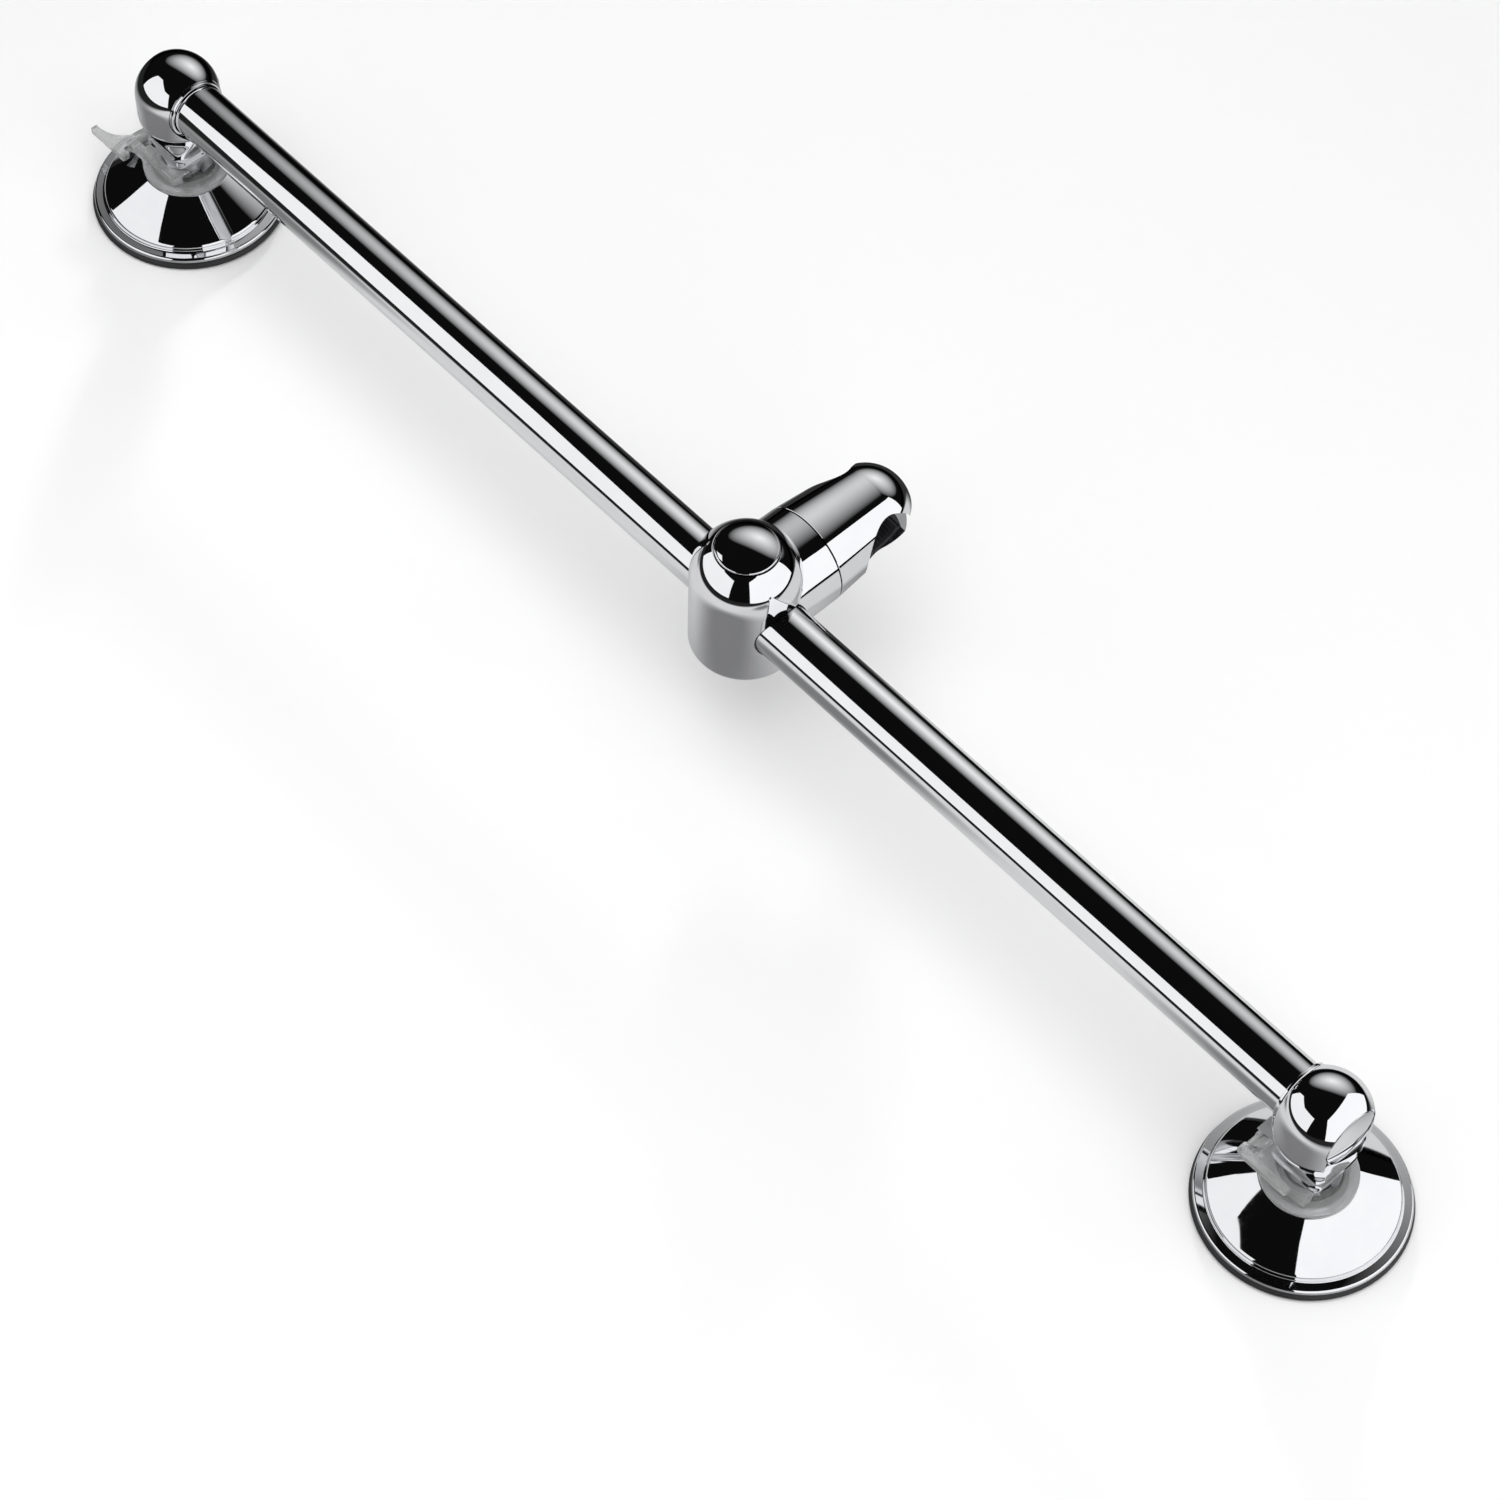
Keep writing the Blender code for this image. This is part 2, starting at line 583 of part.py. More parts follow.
def slider_button(centre):
    edge = math.degrees(math.acos(BUTTON_RADIUS / SLIDER_RADIUS))
    crown = arc((0.0, SLIDER_DOME), SLIDER_RADIUS, 90.0, edge, 5)
    crown[0] = (0.0, crown[0][1])
    skirt = [(BUTTON_RADIUS, 28.6), (11.2, 28.6), (11.2, 26.2), (9.6, 26.2), (9.6, 30.5)]
    shaft = [(3.6, 30.5), (3.6, WEB_BOTTOM), (0.0, WEB_BOTTOM)]
    make("slider_button", turned(crown + skirt + shaft, MEDIUM), "chrome", None, centre)


def grip_loop(centre):
    """Loop round the rail: the button's spring pulls its lower side up against the tube."""
    half = 14.2
    top = WEB_BOTTOM - GAP
    hole = 12.9
    outside = [(-top, -half)] + [(z + 1.4, y) for z, y in arc((0.0, 0.0), half, -90.0, 90.0, 12)] + [(-top, half)]
    loop = make("grip_loop", prism_x(outside, 4.7), "plastic", None, centre)
    lower = arc((0.0, 0.0), hole, -90.0, 90.0, 12)
    upper = arc((-2.2, 0.0), hole, 90.0, 270.0, 12)
    combine(loop, [prism_x(lower + upper, 8.0)], "DIFFERENCE")
    inside = arc((0.0, 0.0), TUBE_RADIUS + GAP, -50.0, 50.0, 8)
    outer = arc((0.0, 0.0), hole - GAP, 50.0, -50.0, 8)
    make("grip_pad", prism_x(inside + outer, 4.4), "rubber", None, centre)


def prism_x(outline, half_length):
    """An outline of (depth below the axis, y) pairs, extruded both ways along X."""
    bm = prism(outline, -half_length, half_length)
    lay(bm, "X")
    return bm


def tilted(bm):
    """Lean a shape built along X with the hand-shower bore, at the bore's place on the arm."""
    turn = Matrix.Rotation(math.radians(HOLDER_TILT), 3, "Y")
    bmesh.ops.rotate(bm, verts=bm.verts, matrix=turn)
    return moved(bm, (0.0, HOLDER_BORE_Y, 0.0))


def holder(centre):
    """Turning holder: a round-ended arm with a slotted bore for the hand shower."""
    end = arc((0.0, ARM_END_CENTRE), ARM_END_RADIUS, 0.0, 90.0, 8)
    end[-1] = (0.0, end[-1][1])
    start = ARM_SPLIT + GAP
    profile = [(0.0, start), (ARM_SPLIT_RADIUS - 0.3, start), (ARM_SPLIT_RADIUS, start + 0.3)] + end
    arm = make("holder", turned(profile, FINE, "Y"), "chrome", None, centre)
    hole, seat, head = PIVOT_RADIUS + GAP, FRICTION_RADIUS + GAP, SCREW_HEAD + GAP
    pivot_bore = [(0.0, start - 2.0), (seat, start - 2.0), (seat, start + 1.6), (hole, start + 1.6),
                  (hole, 36.9), (head, 36.9), (head, HOLDER_BORE_Y), (0.0, HOLDER_BORE_Y)]
    cutters = [
        tilted(rod(HOLDER_BORE, -40.0, 40.0, FINE, "X")),
        tilted(block((-40.0, 40.0), (0.0, 40.0), (-HOLDER_SLOT, HOLDER_SLOT))),
        turned(pivot_bore, MEDIUM, "Y"),
    ]
    combine(arm, cutters, "DIFFERENCE")

    outer = HOLDER_BORE - GAP
    sleeve = [(outer - 1.5, -11.0), (outer, -11.0), (outer, 11.0), (outer - 0.9, 11.0)]
    liner = make("holder_liner", tilted(turned(sleeve, FINE, "X")), "plastic", None, centre)
    liner_slot = tilted(block((-40.0, 40.0), (0.0, 40.0), (-HOLDER_SLOT - GAP, HOLDER_SLOT + GAP)))
    combine(liner, [liner_slot], "DIFFERENCE")


def build_slider():
    centre = (RAIL_X + SLIDER_X, RAIL_Y, RAIL_HEIGHT)
    slider_body(centre)
    cap = rod(CAP_RECESS - GAP, SLIDER_FLOOR, CAP_SEAT - GAP, MEDIUM)
    make("slider_bottom_cap", cap, "chrome", None, centre)
    for side, low in (("left", -15.8), ("right", 8.0)):
        bush = ring(TUBE_RADIUS + 0.25, BUSH_RADIUS, low, low + 7.8, MEDIUM, "X")
        make(f"slider_bush_{side}", bush, "white_plastic", None, centre)
    slider_button(centre)
    coil("button_spring", 6.4, 0.6, WEB_TOP + GAP, 30.2, 4, "steel", None, centre)
    grip_loop(centre)
    friction = ring(6.0, FRICTION_RADIUS, ARM_SPLIT - 1.1, ARM_SPLIT + 1.6, MEDIUM, "Y")
    make("friction_ring", friction, "white_plastic", None, centre)
    screw_profile = [(0.0, 17.3), (PIVOT_RADIUS, 17.3), (PIVOT_RADIUS, 37.2), (SCREW_HEAD, 37.2),
                     (SCREW_HEAD, 41.4), (0.0, 41.4)]
    screw = make("pivot_screw", turned(screw_profile, COARSE, "Y"), "steel", None, centre)
    combine(screw, [hex_socket(2.3, 38.6, 44.0)], "DIFFERENCE")
    holder(centre)


def clear_scene():
    for old in list(bpy.data.objects):
        bpy.data.objects.remove(old, do_unlink=True)


clear_scene()
rail_tube()
for foot_side, foot_x, outward_sign, lever_closed in (("far", -HALF, -1, False), ("near", HALF, 1, True)):
    build_post(foot_side, RAIL_X + foot_x, outward_sign)
    build_foot(foot_side, RAIL_X + foot_x, lever_closed)
build_slider()
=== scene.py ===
import math

import bmesh
import bpy
from mathutils import Matrix, Vector


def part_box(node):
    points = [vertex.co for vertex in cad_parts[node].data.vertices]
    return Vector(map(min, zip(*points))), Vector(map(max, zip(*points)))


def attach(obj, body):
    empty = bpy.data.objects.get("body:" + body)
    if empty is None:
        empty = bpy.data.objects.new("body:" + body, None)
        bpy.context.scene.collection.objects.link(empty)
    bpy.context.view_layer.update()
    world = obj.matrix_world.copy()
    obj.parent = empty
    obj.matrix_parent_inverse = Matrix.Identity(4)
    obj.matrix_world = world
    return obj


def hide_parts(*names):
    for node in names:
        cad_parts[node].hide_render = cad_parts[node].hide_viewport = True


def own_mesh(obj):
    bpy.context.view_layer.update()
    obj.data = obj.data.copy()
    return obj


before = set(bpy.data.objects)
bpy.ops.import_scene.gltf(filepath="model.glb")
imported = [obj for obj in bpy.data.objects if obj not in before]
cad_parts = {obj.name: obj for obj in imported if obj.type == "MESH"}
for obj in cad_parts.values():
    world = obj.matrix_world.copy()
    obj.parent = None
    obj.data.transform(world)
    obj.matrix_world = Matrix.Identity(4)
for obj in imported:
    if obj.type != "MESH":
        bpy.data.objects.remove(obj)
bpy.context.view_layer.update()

mm = 0.001
print("frame loaded:", len(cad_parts), "nodes")


def middle(node):
    low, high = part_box(node)
    return (low + high) / (2 * mm)


# places in millimetres, read from the frame
railMiddle = middle("rail_tube")
sliderMiddle = Vector((middle("slider_body").x, railMiddle.y, railMiddle.z))
footX = {"far": middle("suction_cup_far").x, "near": middle("suction_cup_near").x}
outward = {"far": -1, "near": 1}


def bent(corner, before, after, reach, steps=5):
    # a corner rounded by a short curve that starts and ends `reach` away from it
    start = corner + (before - corner).normalized() * min(reach, 0.45 * (before - corner).length)
    end = corner + (after - corner).normalized() * min(reach, 0.45 * (after - corner).length)
    points = []
    for step in range(steps + 1):
        t = step / steps
        points.append(start * (1 - t) ** 2 + corner * 2 * t * (1 - t) + end * t ** 2)
    return points


def softened(corners):
    # corners are (x, y, rounding); 0 keeps the corner sharp
    points = []
    for i, (x, y, reach) in enumerate(corners):
        here = Vector((x, y))
        if reach:
            before = Vector(corners[i - 1][:2])
            after = Vector(corners[(i + 1) % len(corners)][:2])
            points += bent(here, before, after, reach)
        else:
            points.append(here)
    return [(p.x, p.y) for p in points]


def arc(centre, radius, start, end, steps):
    points = []
    for i in range(steps + 1):
        angle = math.radians(start + (end - start) * i / steps)
        points.append((centre[0] + radius * math.cos(angle), centre[1] + radius * math.sin(angle)))
    return points


def lay(bm, axis):
    turns = {"X": ("Y", 90), "Y": ("X", -90)}
    if axis in turns:
        about, angle = turns[axis]
        bmesh.ops.rotate(bm, verts=bm.verts, matrix=Matrix.Rotation(math.radians(angle), 3, about))
    return bm


def turned(profile, facets=128, axis="Z"):
    bm = bmesh.new()
    rows = []
    for i in range(facets):
        angle = 2 * math.pi * i / facets
        c, s = math.cos(angle), math.sin(angle)
        rows.append([bm.verts.new((r * c, r * s, z)) for r, z in profile])
    for i in range(facets):
        here, following = rows[i], rows[(i + 1) % facets]
        for j in range(len(profile)):
            k = (j + 1) % len(profile)
            if profile[j][0] < 1e-6 and profile[k][0] < 1e-6:
                continue
            bm.faces.new((here[j], here[k], following[k], following[j]))
    bmesh.ops.remove_doubles(bm, verts=bm.verts, dist=1e-4)
    return lay(bm, axis)


def rod(radius, low, high, facets=96, axis="Z"):
    return turned([(0, low), (radius, low), (radius, high), (0, high)], facets, axis)


def block(x, y, z):
    bm = bmesh.new()
    bmesh.ops.create_cube(bm, size=1)
    bmesh.ops.scale(bm, vec=(x[1] - x[0], y[1] - y[0], z[1] - z[0]), verts=bm.verts)
    bmesh.ops.translate(bm, vec=((x[0] + x[1]) / 2, (y[0] + y[1]) / 2, (z[0] + z[1]) / 2), verts=bm.verts)
    return bm


def prism(outline, low, high, axis="Z"):
    bm = bmesh.new()
    bottom = [bm.verts.new((x, y, low)) for x, y in outline]
    top = [bm.verts.new((x, y, high)) for x, y in outline]
    bm.faces.new(list(reversed(bottom)))
    bm.faces.new(top)
    for i in range(len(outline)):
        k = (i + 1) % len(outline)
        bm.faces.new((bottom[i], bottom[k], top[k], top[i]))
    if axis == "Y":
        bmesh.ops.rotate(bm, verts=bm.verts, matrix=Matrix.Rotation(math.radians(90), 3, "X"))
    return bm


def moved(bm, x=0, y=0, z=0):
    bmesh.ops.translate(bm, vec=(x, y, z), verts=bm.verts)
    return bm


def rolled(bm, degrees, axis):
    bmesh.ops.rotate(bm, verts=bm.verts, matrix=Matrix.Rotation(math.radians(degrees), 3, axis))
    return bm


def newObject(name, bm, at=(0, 0, 0)):
    # the object stays at the origin and the place goes into the mesh
    bmesh.ops.remove_doubles(bm, verts=bm.verts, dist=1e-4)
    bmesh.ops.recalc_face_normals(bm, faces=bm.faces)
    bmesh.ops.translate(bm, vec=at, verts=bm.verts)
    bmesh.ops.scale(bm, vec=(mm, mm, mm), verts=bm.verts)
    mesh = bpy.data.meshes.new(name)
    bm.to_mesh(mesh)
    bm.free()
    piece = bpy.data.objects.new(name, mesh)
    bpy.context.scene.collection.objects.link(piece)
    return piece


def settle(piece):
    # modifiers become plain mesh
    bpy.context.view_layer.update()
    evaluated = piece.evaluated_get(bpy.context.evaluated_depsgraph_get())
    mesh = bpy.data.meshes.new_from_object(evaluated)
    piece.modifiers.clear()
    old = piece.data
    piece.data = mesh
    mesh.name = piece.name
    if old.users == 0:
        bpy.data.meshes.remove(old)


def shaped(piece, at, add=(), cut=()):
    tools = []
    for operation, shapes in (("UNION", add), ("DIFFERENCE", cut)):
        for bm in shapes:
            tool = newObject(f"{piece.name}Tool{len(tools)}", bm, at)
            modifier = piece.modifiers.new("shape", "BOOLEAN")
            modifier.operation = operation
            modifier.solver = "EXACT"
            modifier.object = tool
            tools.append(tool)
    settle(piece)
    for tool in tools:
        bpy.data.objects.remove(tool)


def eased(piece, width, segments=3, angle=40):
    # small rounded edges, left as a live modifier
    modifier = piece.modifiers.new("edges", "BEVEL")
    modifier.width = width * mm
    modifier.segments = segments
    modifier.limit_method = "ANGLE"
    modifier.angle_limit = math.radians(angle)


def finished(piece, material, body, replaces=(), sharp=35):
    piece.data.materials.clear()
    piece.data.materials.append(material)
    piece.data.shade_smooth()
    piece.data.set_sharp_from_angle(angle=math.radians(sharp))
    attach(piece, body)
    if replaces:
        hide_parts(*replaces)
    return piece


def shaderGroup(name, inputs, outputs):
    group = bpy.data.node_groups.new(name, "ShaderNodeTree")
    for label, value in inputs.items():
        kind = "NodeSocketVector" if label == "Vector" else "NodeSocketFloat"
        socket = group.interface.new_socket(name=label, in_out="INPUT", socket_type=kind)
        if label != "Vector":
            socket.default_value = value
    for label in outputs:
        group.interface.new_socket(name=label, in_out="OUTPUT", socket_type="NodeSocketFloat")
    return group, group.nodes.new("NodeGroupInput"), group.nodes.new("NodeGroupOutput")


def noiseInto(nodes, links, vector, scale, detail, roughness=0.5):
    noise = nodes.new("ShaderNodeTexNoise")
    noise.inputs["Detail"].default_value = detail
    noise.inputs["Roughness"].default_value = roughness
    links.new(vector, noise.inputs["Vector"])
    links.new(scale, noise.inputs["Scale"])
    return noise.outputs["Fac"]


def ranged(nodes, links, value, low, high, inputLow=0.3, inputHigh=0.7):
    ramp = nodes.new("ShaderNodeMapRange")
    ramp.inputs["From Min"].default_value = inputLow
    ramp.inputs["From Max"].default_value = inputHigh
    for label, bound in (("To Min", low), ("To Max", high)):
        if hasattr(bound, "links"):
            links.new(bound, ramp.inputs[label])
        else:
            ramp.inputs[label].default_value = bound
    links.new(value, ramp.inputs["Value"])
    return ramp.outputs["Result"]


def handledGroup():
    # faint wiping marks and the slight waviness of a polished part
    inputs = {"Vector": None, "Mark Scale": 60.0, "Smooth": 0.02, "Dull": 0.06, "Wave Scale": 12.0}
    group, taken, given = shaderGroup("handledSurface", inputs, ("Roughness", "Height", "Tone"))
    nodes, links = group.nodes, group.links
    marks = noiseInto(nodes, links, taken.outputs["Vector"], taken.outputs["Mark Scale"], 6, 0.62)
    wave = noiseInto(nodes, links, taken.outputs["Vector"], taken.outputs["Wave Scale"], 1)
    rough = ranged(nodes, links, marks, taken.outputs["Smooth"], taken.outputs["Dull"], 0.42, 0.78)
    links.new(rough, given.inputs["Roughness"])
    links.new(wave, given.inputs["Height"])
    links.new(marks, given.inputs["Tone"])
    return group


def grainGroup():
    # moulded grain with a coarser mottling under it
    inputs = {"Vector": None, "Grain Scale": 900.0, "Mottle Scale": 40.0, "Smooth": 0.4, "Dull": 0.6}
    group, taken, given = shaderGroup("mouldedGrain", inputs, ("Roughness", "Height", "Tone"))
    nodes, links = group.nodes, group.links
    fine = noiseInto(nodes, links, taken.outputs["Vector"], taken.outputs["Grain Scale"], 3)
    mottle = noiseInto(nodes, links, taken.outputs["Vector"], taken.outputs["Mottle Scale"], 4)
    rough = ranged(nodes, links, mottle, taken.outputs["Smooth"], taken.outputs["Dull"])
    links.new(rough, given.inputs["Roughness"])
    links.new(fine, given.inputs["Height"])
    links.new(mottle, given.inputs["Tone"])
    return group


def machinedGroup():
    # fine rings left by turning, broken up a little
    inputs = {"Vector": None, "Ring Scale": 900.0, "Blur Scale": 80.0, "Smooth": 0.18, "Dull": 0.4}
    group, taken, given = shaderGroup("machinedRings", inputs, ("Roughness", "Height", "Tone"))
    nodes, links = group.nodes, group.links
    wave = nodes.new("ShaderNodeTexWave")
    wave.wave_type = "BANDS"
    wave.bands_direction = "Z"
    wave.inputs["Distortion"].default_value = 1.5
    links.new(taken.outputs["Vector"], wave.inputs["Vector"])
    links.new(taken.outputs["Ring Scale"], wave.inputs["Scale"])
    blur = noiseInto(nodes, links, taken.outputs["Vector"], taken.outputs["Blur Scale"], 4)
    rough = ranged(nodes, links, blur, taken.outputs["Smooth"], taken.outputs["Dull"])
    links.new(rough, given.inputs["Roughness"])
    links.new(wave.outputs["Fac"], given.inputs["Height"])
    links.new(blur, given.inputs["Tone"])
    return group


groups = {"handled": handledGroup(), "grain": grainGroup(), "machined": machinedGroup()}

finishes = {
    "tubeChrome": {
        "group": "handled", "metallic": 1, "dark": (0.80, 0.81, 0.83), "light": (0.90, 0.91, 0.92),
        "values": {"Mark Scale": 45, "Smooth": 0.025, "Dull": 0.07, "Wave Scale": 9}, "bump": (0.03, 0.0002),
    },
    "castChrome": {
        "group": "handled", "metallic": 1, "dark": (0.80, 0.81, 0.83), "light": (0.91, 0.91, 0.93),
        "values": {"Mark Scale": 70, "Smooth": 0.015, "Dull": 0.05, "Wave Scale": 30}, "bump": (0.03, 0.0002),
    },
    "shellChrome": {
        "group": "handled", "metallic": 1, "dark": (0.78, 0.79, 0.81), "light": (0.90, 0.90, 0.92),
        "values": {"Mark Scale": 55, "Smooth": 0.02, "Dull": 0.06, "Wave Scale": 18}, "bump": (0.04, 0.0003),
    },
    "hardwareSteel": {
        "group": "machined", "metallic": 1, "dark": (0.42, 0.43, 0.44), "light": (0.66, 0.66, 0.67),
        "values": {"Ring Scale": 700, "Blur Scale": 120, "Smooth": 0.2, "Dull": 0.4}, "bump": (0.15, 0.00002),
    },
    "blackRubber": {
        "group": "grain", "metallic": 0, "dark": (0.010, 0.010, 0.011), "light": (0.032, 0.032, 0.034),
        "values": {"Grain Scale": 1400, "Mottle Scale": 60, "Smooth": 0.38, "Dull": 0.58},
        "bump": (0.25, 0.00005),
    },
    "blackPlastic": {
        "group": "grain", "metallic": 0, "dark": (0.012, 0.012, 0.013), "light": (0.028, 0.028, 0.031),
        "values": {"Grain Scale": 1100, "Mottle Scale": 80, "Smooth": 0.3, "Dull": 0.45},
        "bump": (0.2, 0.00004),
    },
    "bearingPlastic": {
        "group": "grain", "metallic": 0, "dark": (0.62, 0.62, 0.60), "light": (0.76, 0.76, 0.73),
        "values": {"Grain Scale": 900, "Mottle Scale": 50, "Smooth": 0.35, "Dull": 0.5},
        "bump": (0.1, 0.00004),
    },
    "clearPlastic": {
        "group": "handled", "metallic": 0, "dark": (0.95, 0.96, 0.965), "light": (0.99, 0.995, 0.995),
        "values": {"Mark Scale": 120, "Smooth": 0.0, "Dull": 0.03, "Wave Scale": 90},
        "bump": (0.02, 0.00005), "clear": 0.74, "bending": 1.45,
    },
}


def materialOf(name):
    look = finishes[name]
    material = bpy.data.materials.new(name)
    material.use_nodes = True
    nodes, links = material.node_tree.nodes, material.node_tree.links
    shader = nodes["Principled BSDF"]
    place = nodes.new("ShaderNodeTexCoord")
    surface = nodes.new("ShaderNodeGroup")
    surface.node_tree = groups[look["group"]]
    links.new(place.outputs["Object"], surface.inputs["Vector"])
    for label, value in look["values"].items():
        surface.inputs[label].default_value = value
    colour = nodes.new("ShaderNodeMix")
    colour.data_type = "RGBA"
    colour.inputs["A"].default_value = (*look["dark"], 1)
    colour.inputs["B"].default_value = (*look["light"], 1)
    links.new(surface.outputs["Tone"], colour.inputs["Factor"])
    links.new(colour.outputs["Result"], shader.inputs["Base Color"])
    links.new(surface.outputs["Roughness"], shader.inputs["Roughness"])
    bump = nodes.new("ShaderNodeBump")
    bump.inputs["Strength"].default_value, bump.inputs["Distance"].default_value = look["bump"]
    links.new(surface.outputs["Height"], bump.inputs["Height"])
    links.new(bump.outputs["Normal"], shader.inputs["Normal"])
    shader.inputs["Metallic"].default_value = look["metallic"]
    if "clear" in look:
        shader.inputs["Transmission Weight"].default_value = look["clear"]
        shader.inputs["IOR"].default_value = look["bending"]
    return material


materials = {name: materialOf(name) for name in finishes}
print("finishes made:", len(materials))


def nodeTree(name, inputs):
    tree = bpy.data.node_groups.new(name, "GeometryNodeTree")
    tree.is_modifier = True
    kinds = {int: "NodeSocketInt", float: "NodeSocketFloat", Vector: "NodeSocketVector"}
    tree.interface.new_socket(name="Geometry", in_out="OUTPUT", socket_type="NodeSocketGeometry")
    for label, value in inputs.items():
        socket = tree.interface.new_socket(name=label, in_out="INPUT", socket_type=kinds[type(value)])
        socket.default_value = value
    tree.interface.new_socket(name="Material", in_out="INPUT", socket_type="NodeSocketMaterial")
    return tree, tree.nodes.new("NodeGroupInput"), tree.nodes.new("NodeGroupOutput")


def node(tree, kind, sources=None, **settings):
    made = tree.nodes.new(kind)
    for key, value in settings.items():
        setattr(made, key, value)
    for label, source in (sources or {}).items():
        if hasattr(source, "links"):
            tree.links.new(source, made.inputs[label])
        else:
            made.inputs[label].default_value = source
    return made


def endTree(tree, taken, given, geometry):
    real = node(tree, "GeometryNodeRealizeInstances", {"Geometry": geometry})
    smooth = node(tree, "GeometryNodeSetShadeSmooth", {"Geometry": real.outputs["Geometry"]})
    painted = node(tree, "GeometryNodeSetMaterial",
                   {"Geometry": smooth.outputs["Geometry"], "Material": taken.outputs["Material"]})
    tree.links.new(painted.outputs["Geometry"], given.inputs["Geometry"])


def grown(name, tree, values, material):
    # runs a tree once and keeps its result as a plain mesh
    piece = newObject(name, bmesh.new())
    modifier = piece.modifiers.new("grow", "NODES")
    modifier.node_group = tree
    for item in tree.interface.items_tree:
        if item.in_out == "INPUT" and item.name in values:
            modifier[item.identifier] = values[item.name]
        if item.in_out == "INPUT" and item.name == "Material":
            modifier[item.identifier] = material
    settle(piece)
    return piece


def tubeTree():
    # a rectangular wall section swept round a circle, laid along X
    inputs = {"Radius": 0.011, "Wall": 0.0012, "Length": 0.6, "Edge": 0.0002, "Facets": 160,
              "Middle": Vector()}
    tree, taken, given = nodeTree("drawnTube", inputs)
    half = node(tree, "ShaderNodeMath", {0: taken.outputs["Wall"], 1: 0.5}, operation="MULTIPLY")
    sweep = node(tree, "ShaderNodeMath", {0: taken.outputs["Radius"], 1: half.outputs[0]},
                 operation="SUBTRACT")
    path = node(tree, "GeometryNodeCurvePrimitiveCircle",
                {"Resolution": taken.outputs["Facets"], "Radius": sweep.outputs[0]})
    section = node(tree, "GeometryNodeCurvePrimitiveQuadrilateral",
                   {"Width": taken.outputs["Wall"], "Height": taken.outputs["Length"]})
    soft = node(tree, "GeometryNodeFilletCurve",
                {"Curve": section.outputs["Curve"], "Count": 3, "Radius": taken.outputs["Edge"]}, mode="POLY")
    wall = node(tree, "GeometryNodeCurveToMesh",
                {"Curve": path.outputs["Curve"], "Profile Curve": soft.outputs["Curve"]})
    laid = node(tree, "GeometryNodeTransform",
                {"Geometry": wall.outputs["Mesh"], "Rotation": (0, math.pi / 2, 0),
                 "Translation": taken.outputs["Middle"]})
    endTree(tree, taken, given, laid.outputs["Geometry"])
    return tree


def springTree():
    inputs = {"Radius": 0.005, "Wire": 0.0005, "Turns": 4.0, "Height": 0.01, "Foot": Vector(),
              "Facets": 12}
    tree, taken, given = nodeTree("coilSpring", inputs)
    spiral = node(tree, "GeometryNodeCurveSpiral",
                  {"Resolution": 28, "Rotations": taken.outputs["Turns"],
                   "Start Radius": taken.outputs["Radius"], "End Radius": taken.outputs["Radius"],
                   "Height": taken.outputs["Height"]})
    wire = node(tree, "GeometryNodeCurvePrimitiveCircle",
                {"Resolution": taken.outputs["Facets"], "Radius": taken.outputs["Wire"]})
    body = node(tree, "GeometryNodeCurveToMesh",
                {"Curve": spiral.outputs["Curve"], "Profile Curve": wire.outputs["Curve"], "Fill Caps": True})
    placed = node(tree, "GeometryNodeTransform",
                  {"Geometry": body.outputs["Mesh"], "Translation": taken.outputs["Foot"]})
    endTree(tree, taken, given, placed.outputs["Geometry"])
    return tree


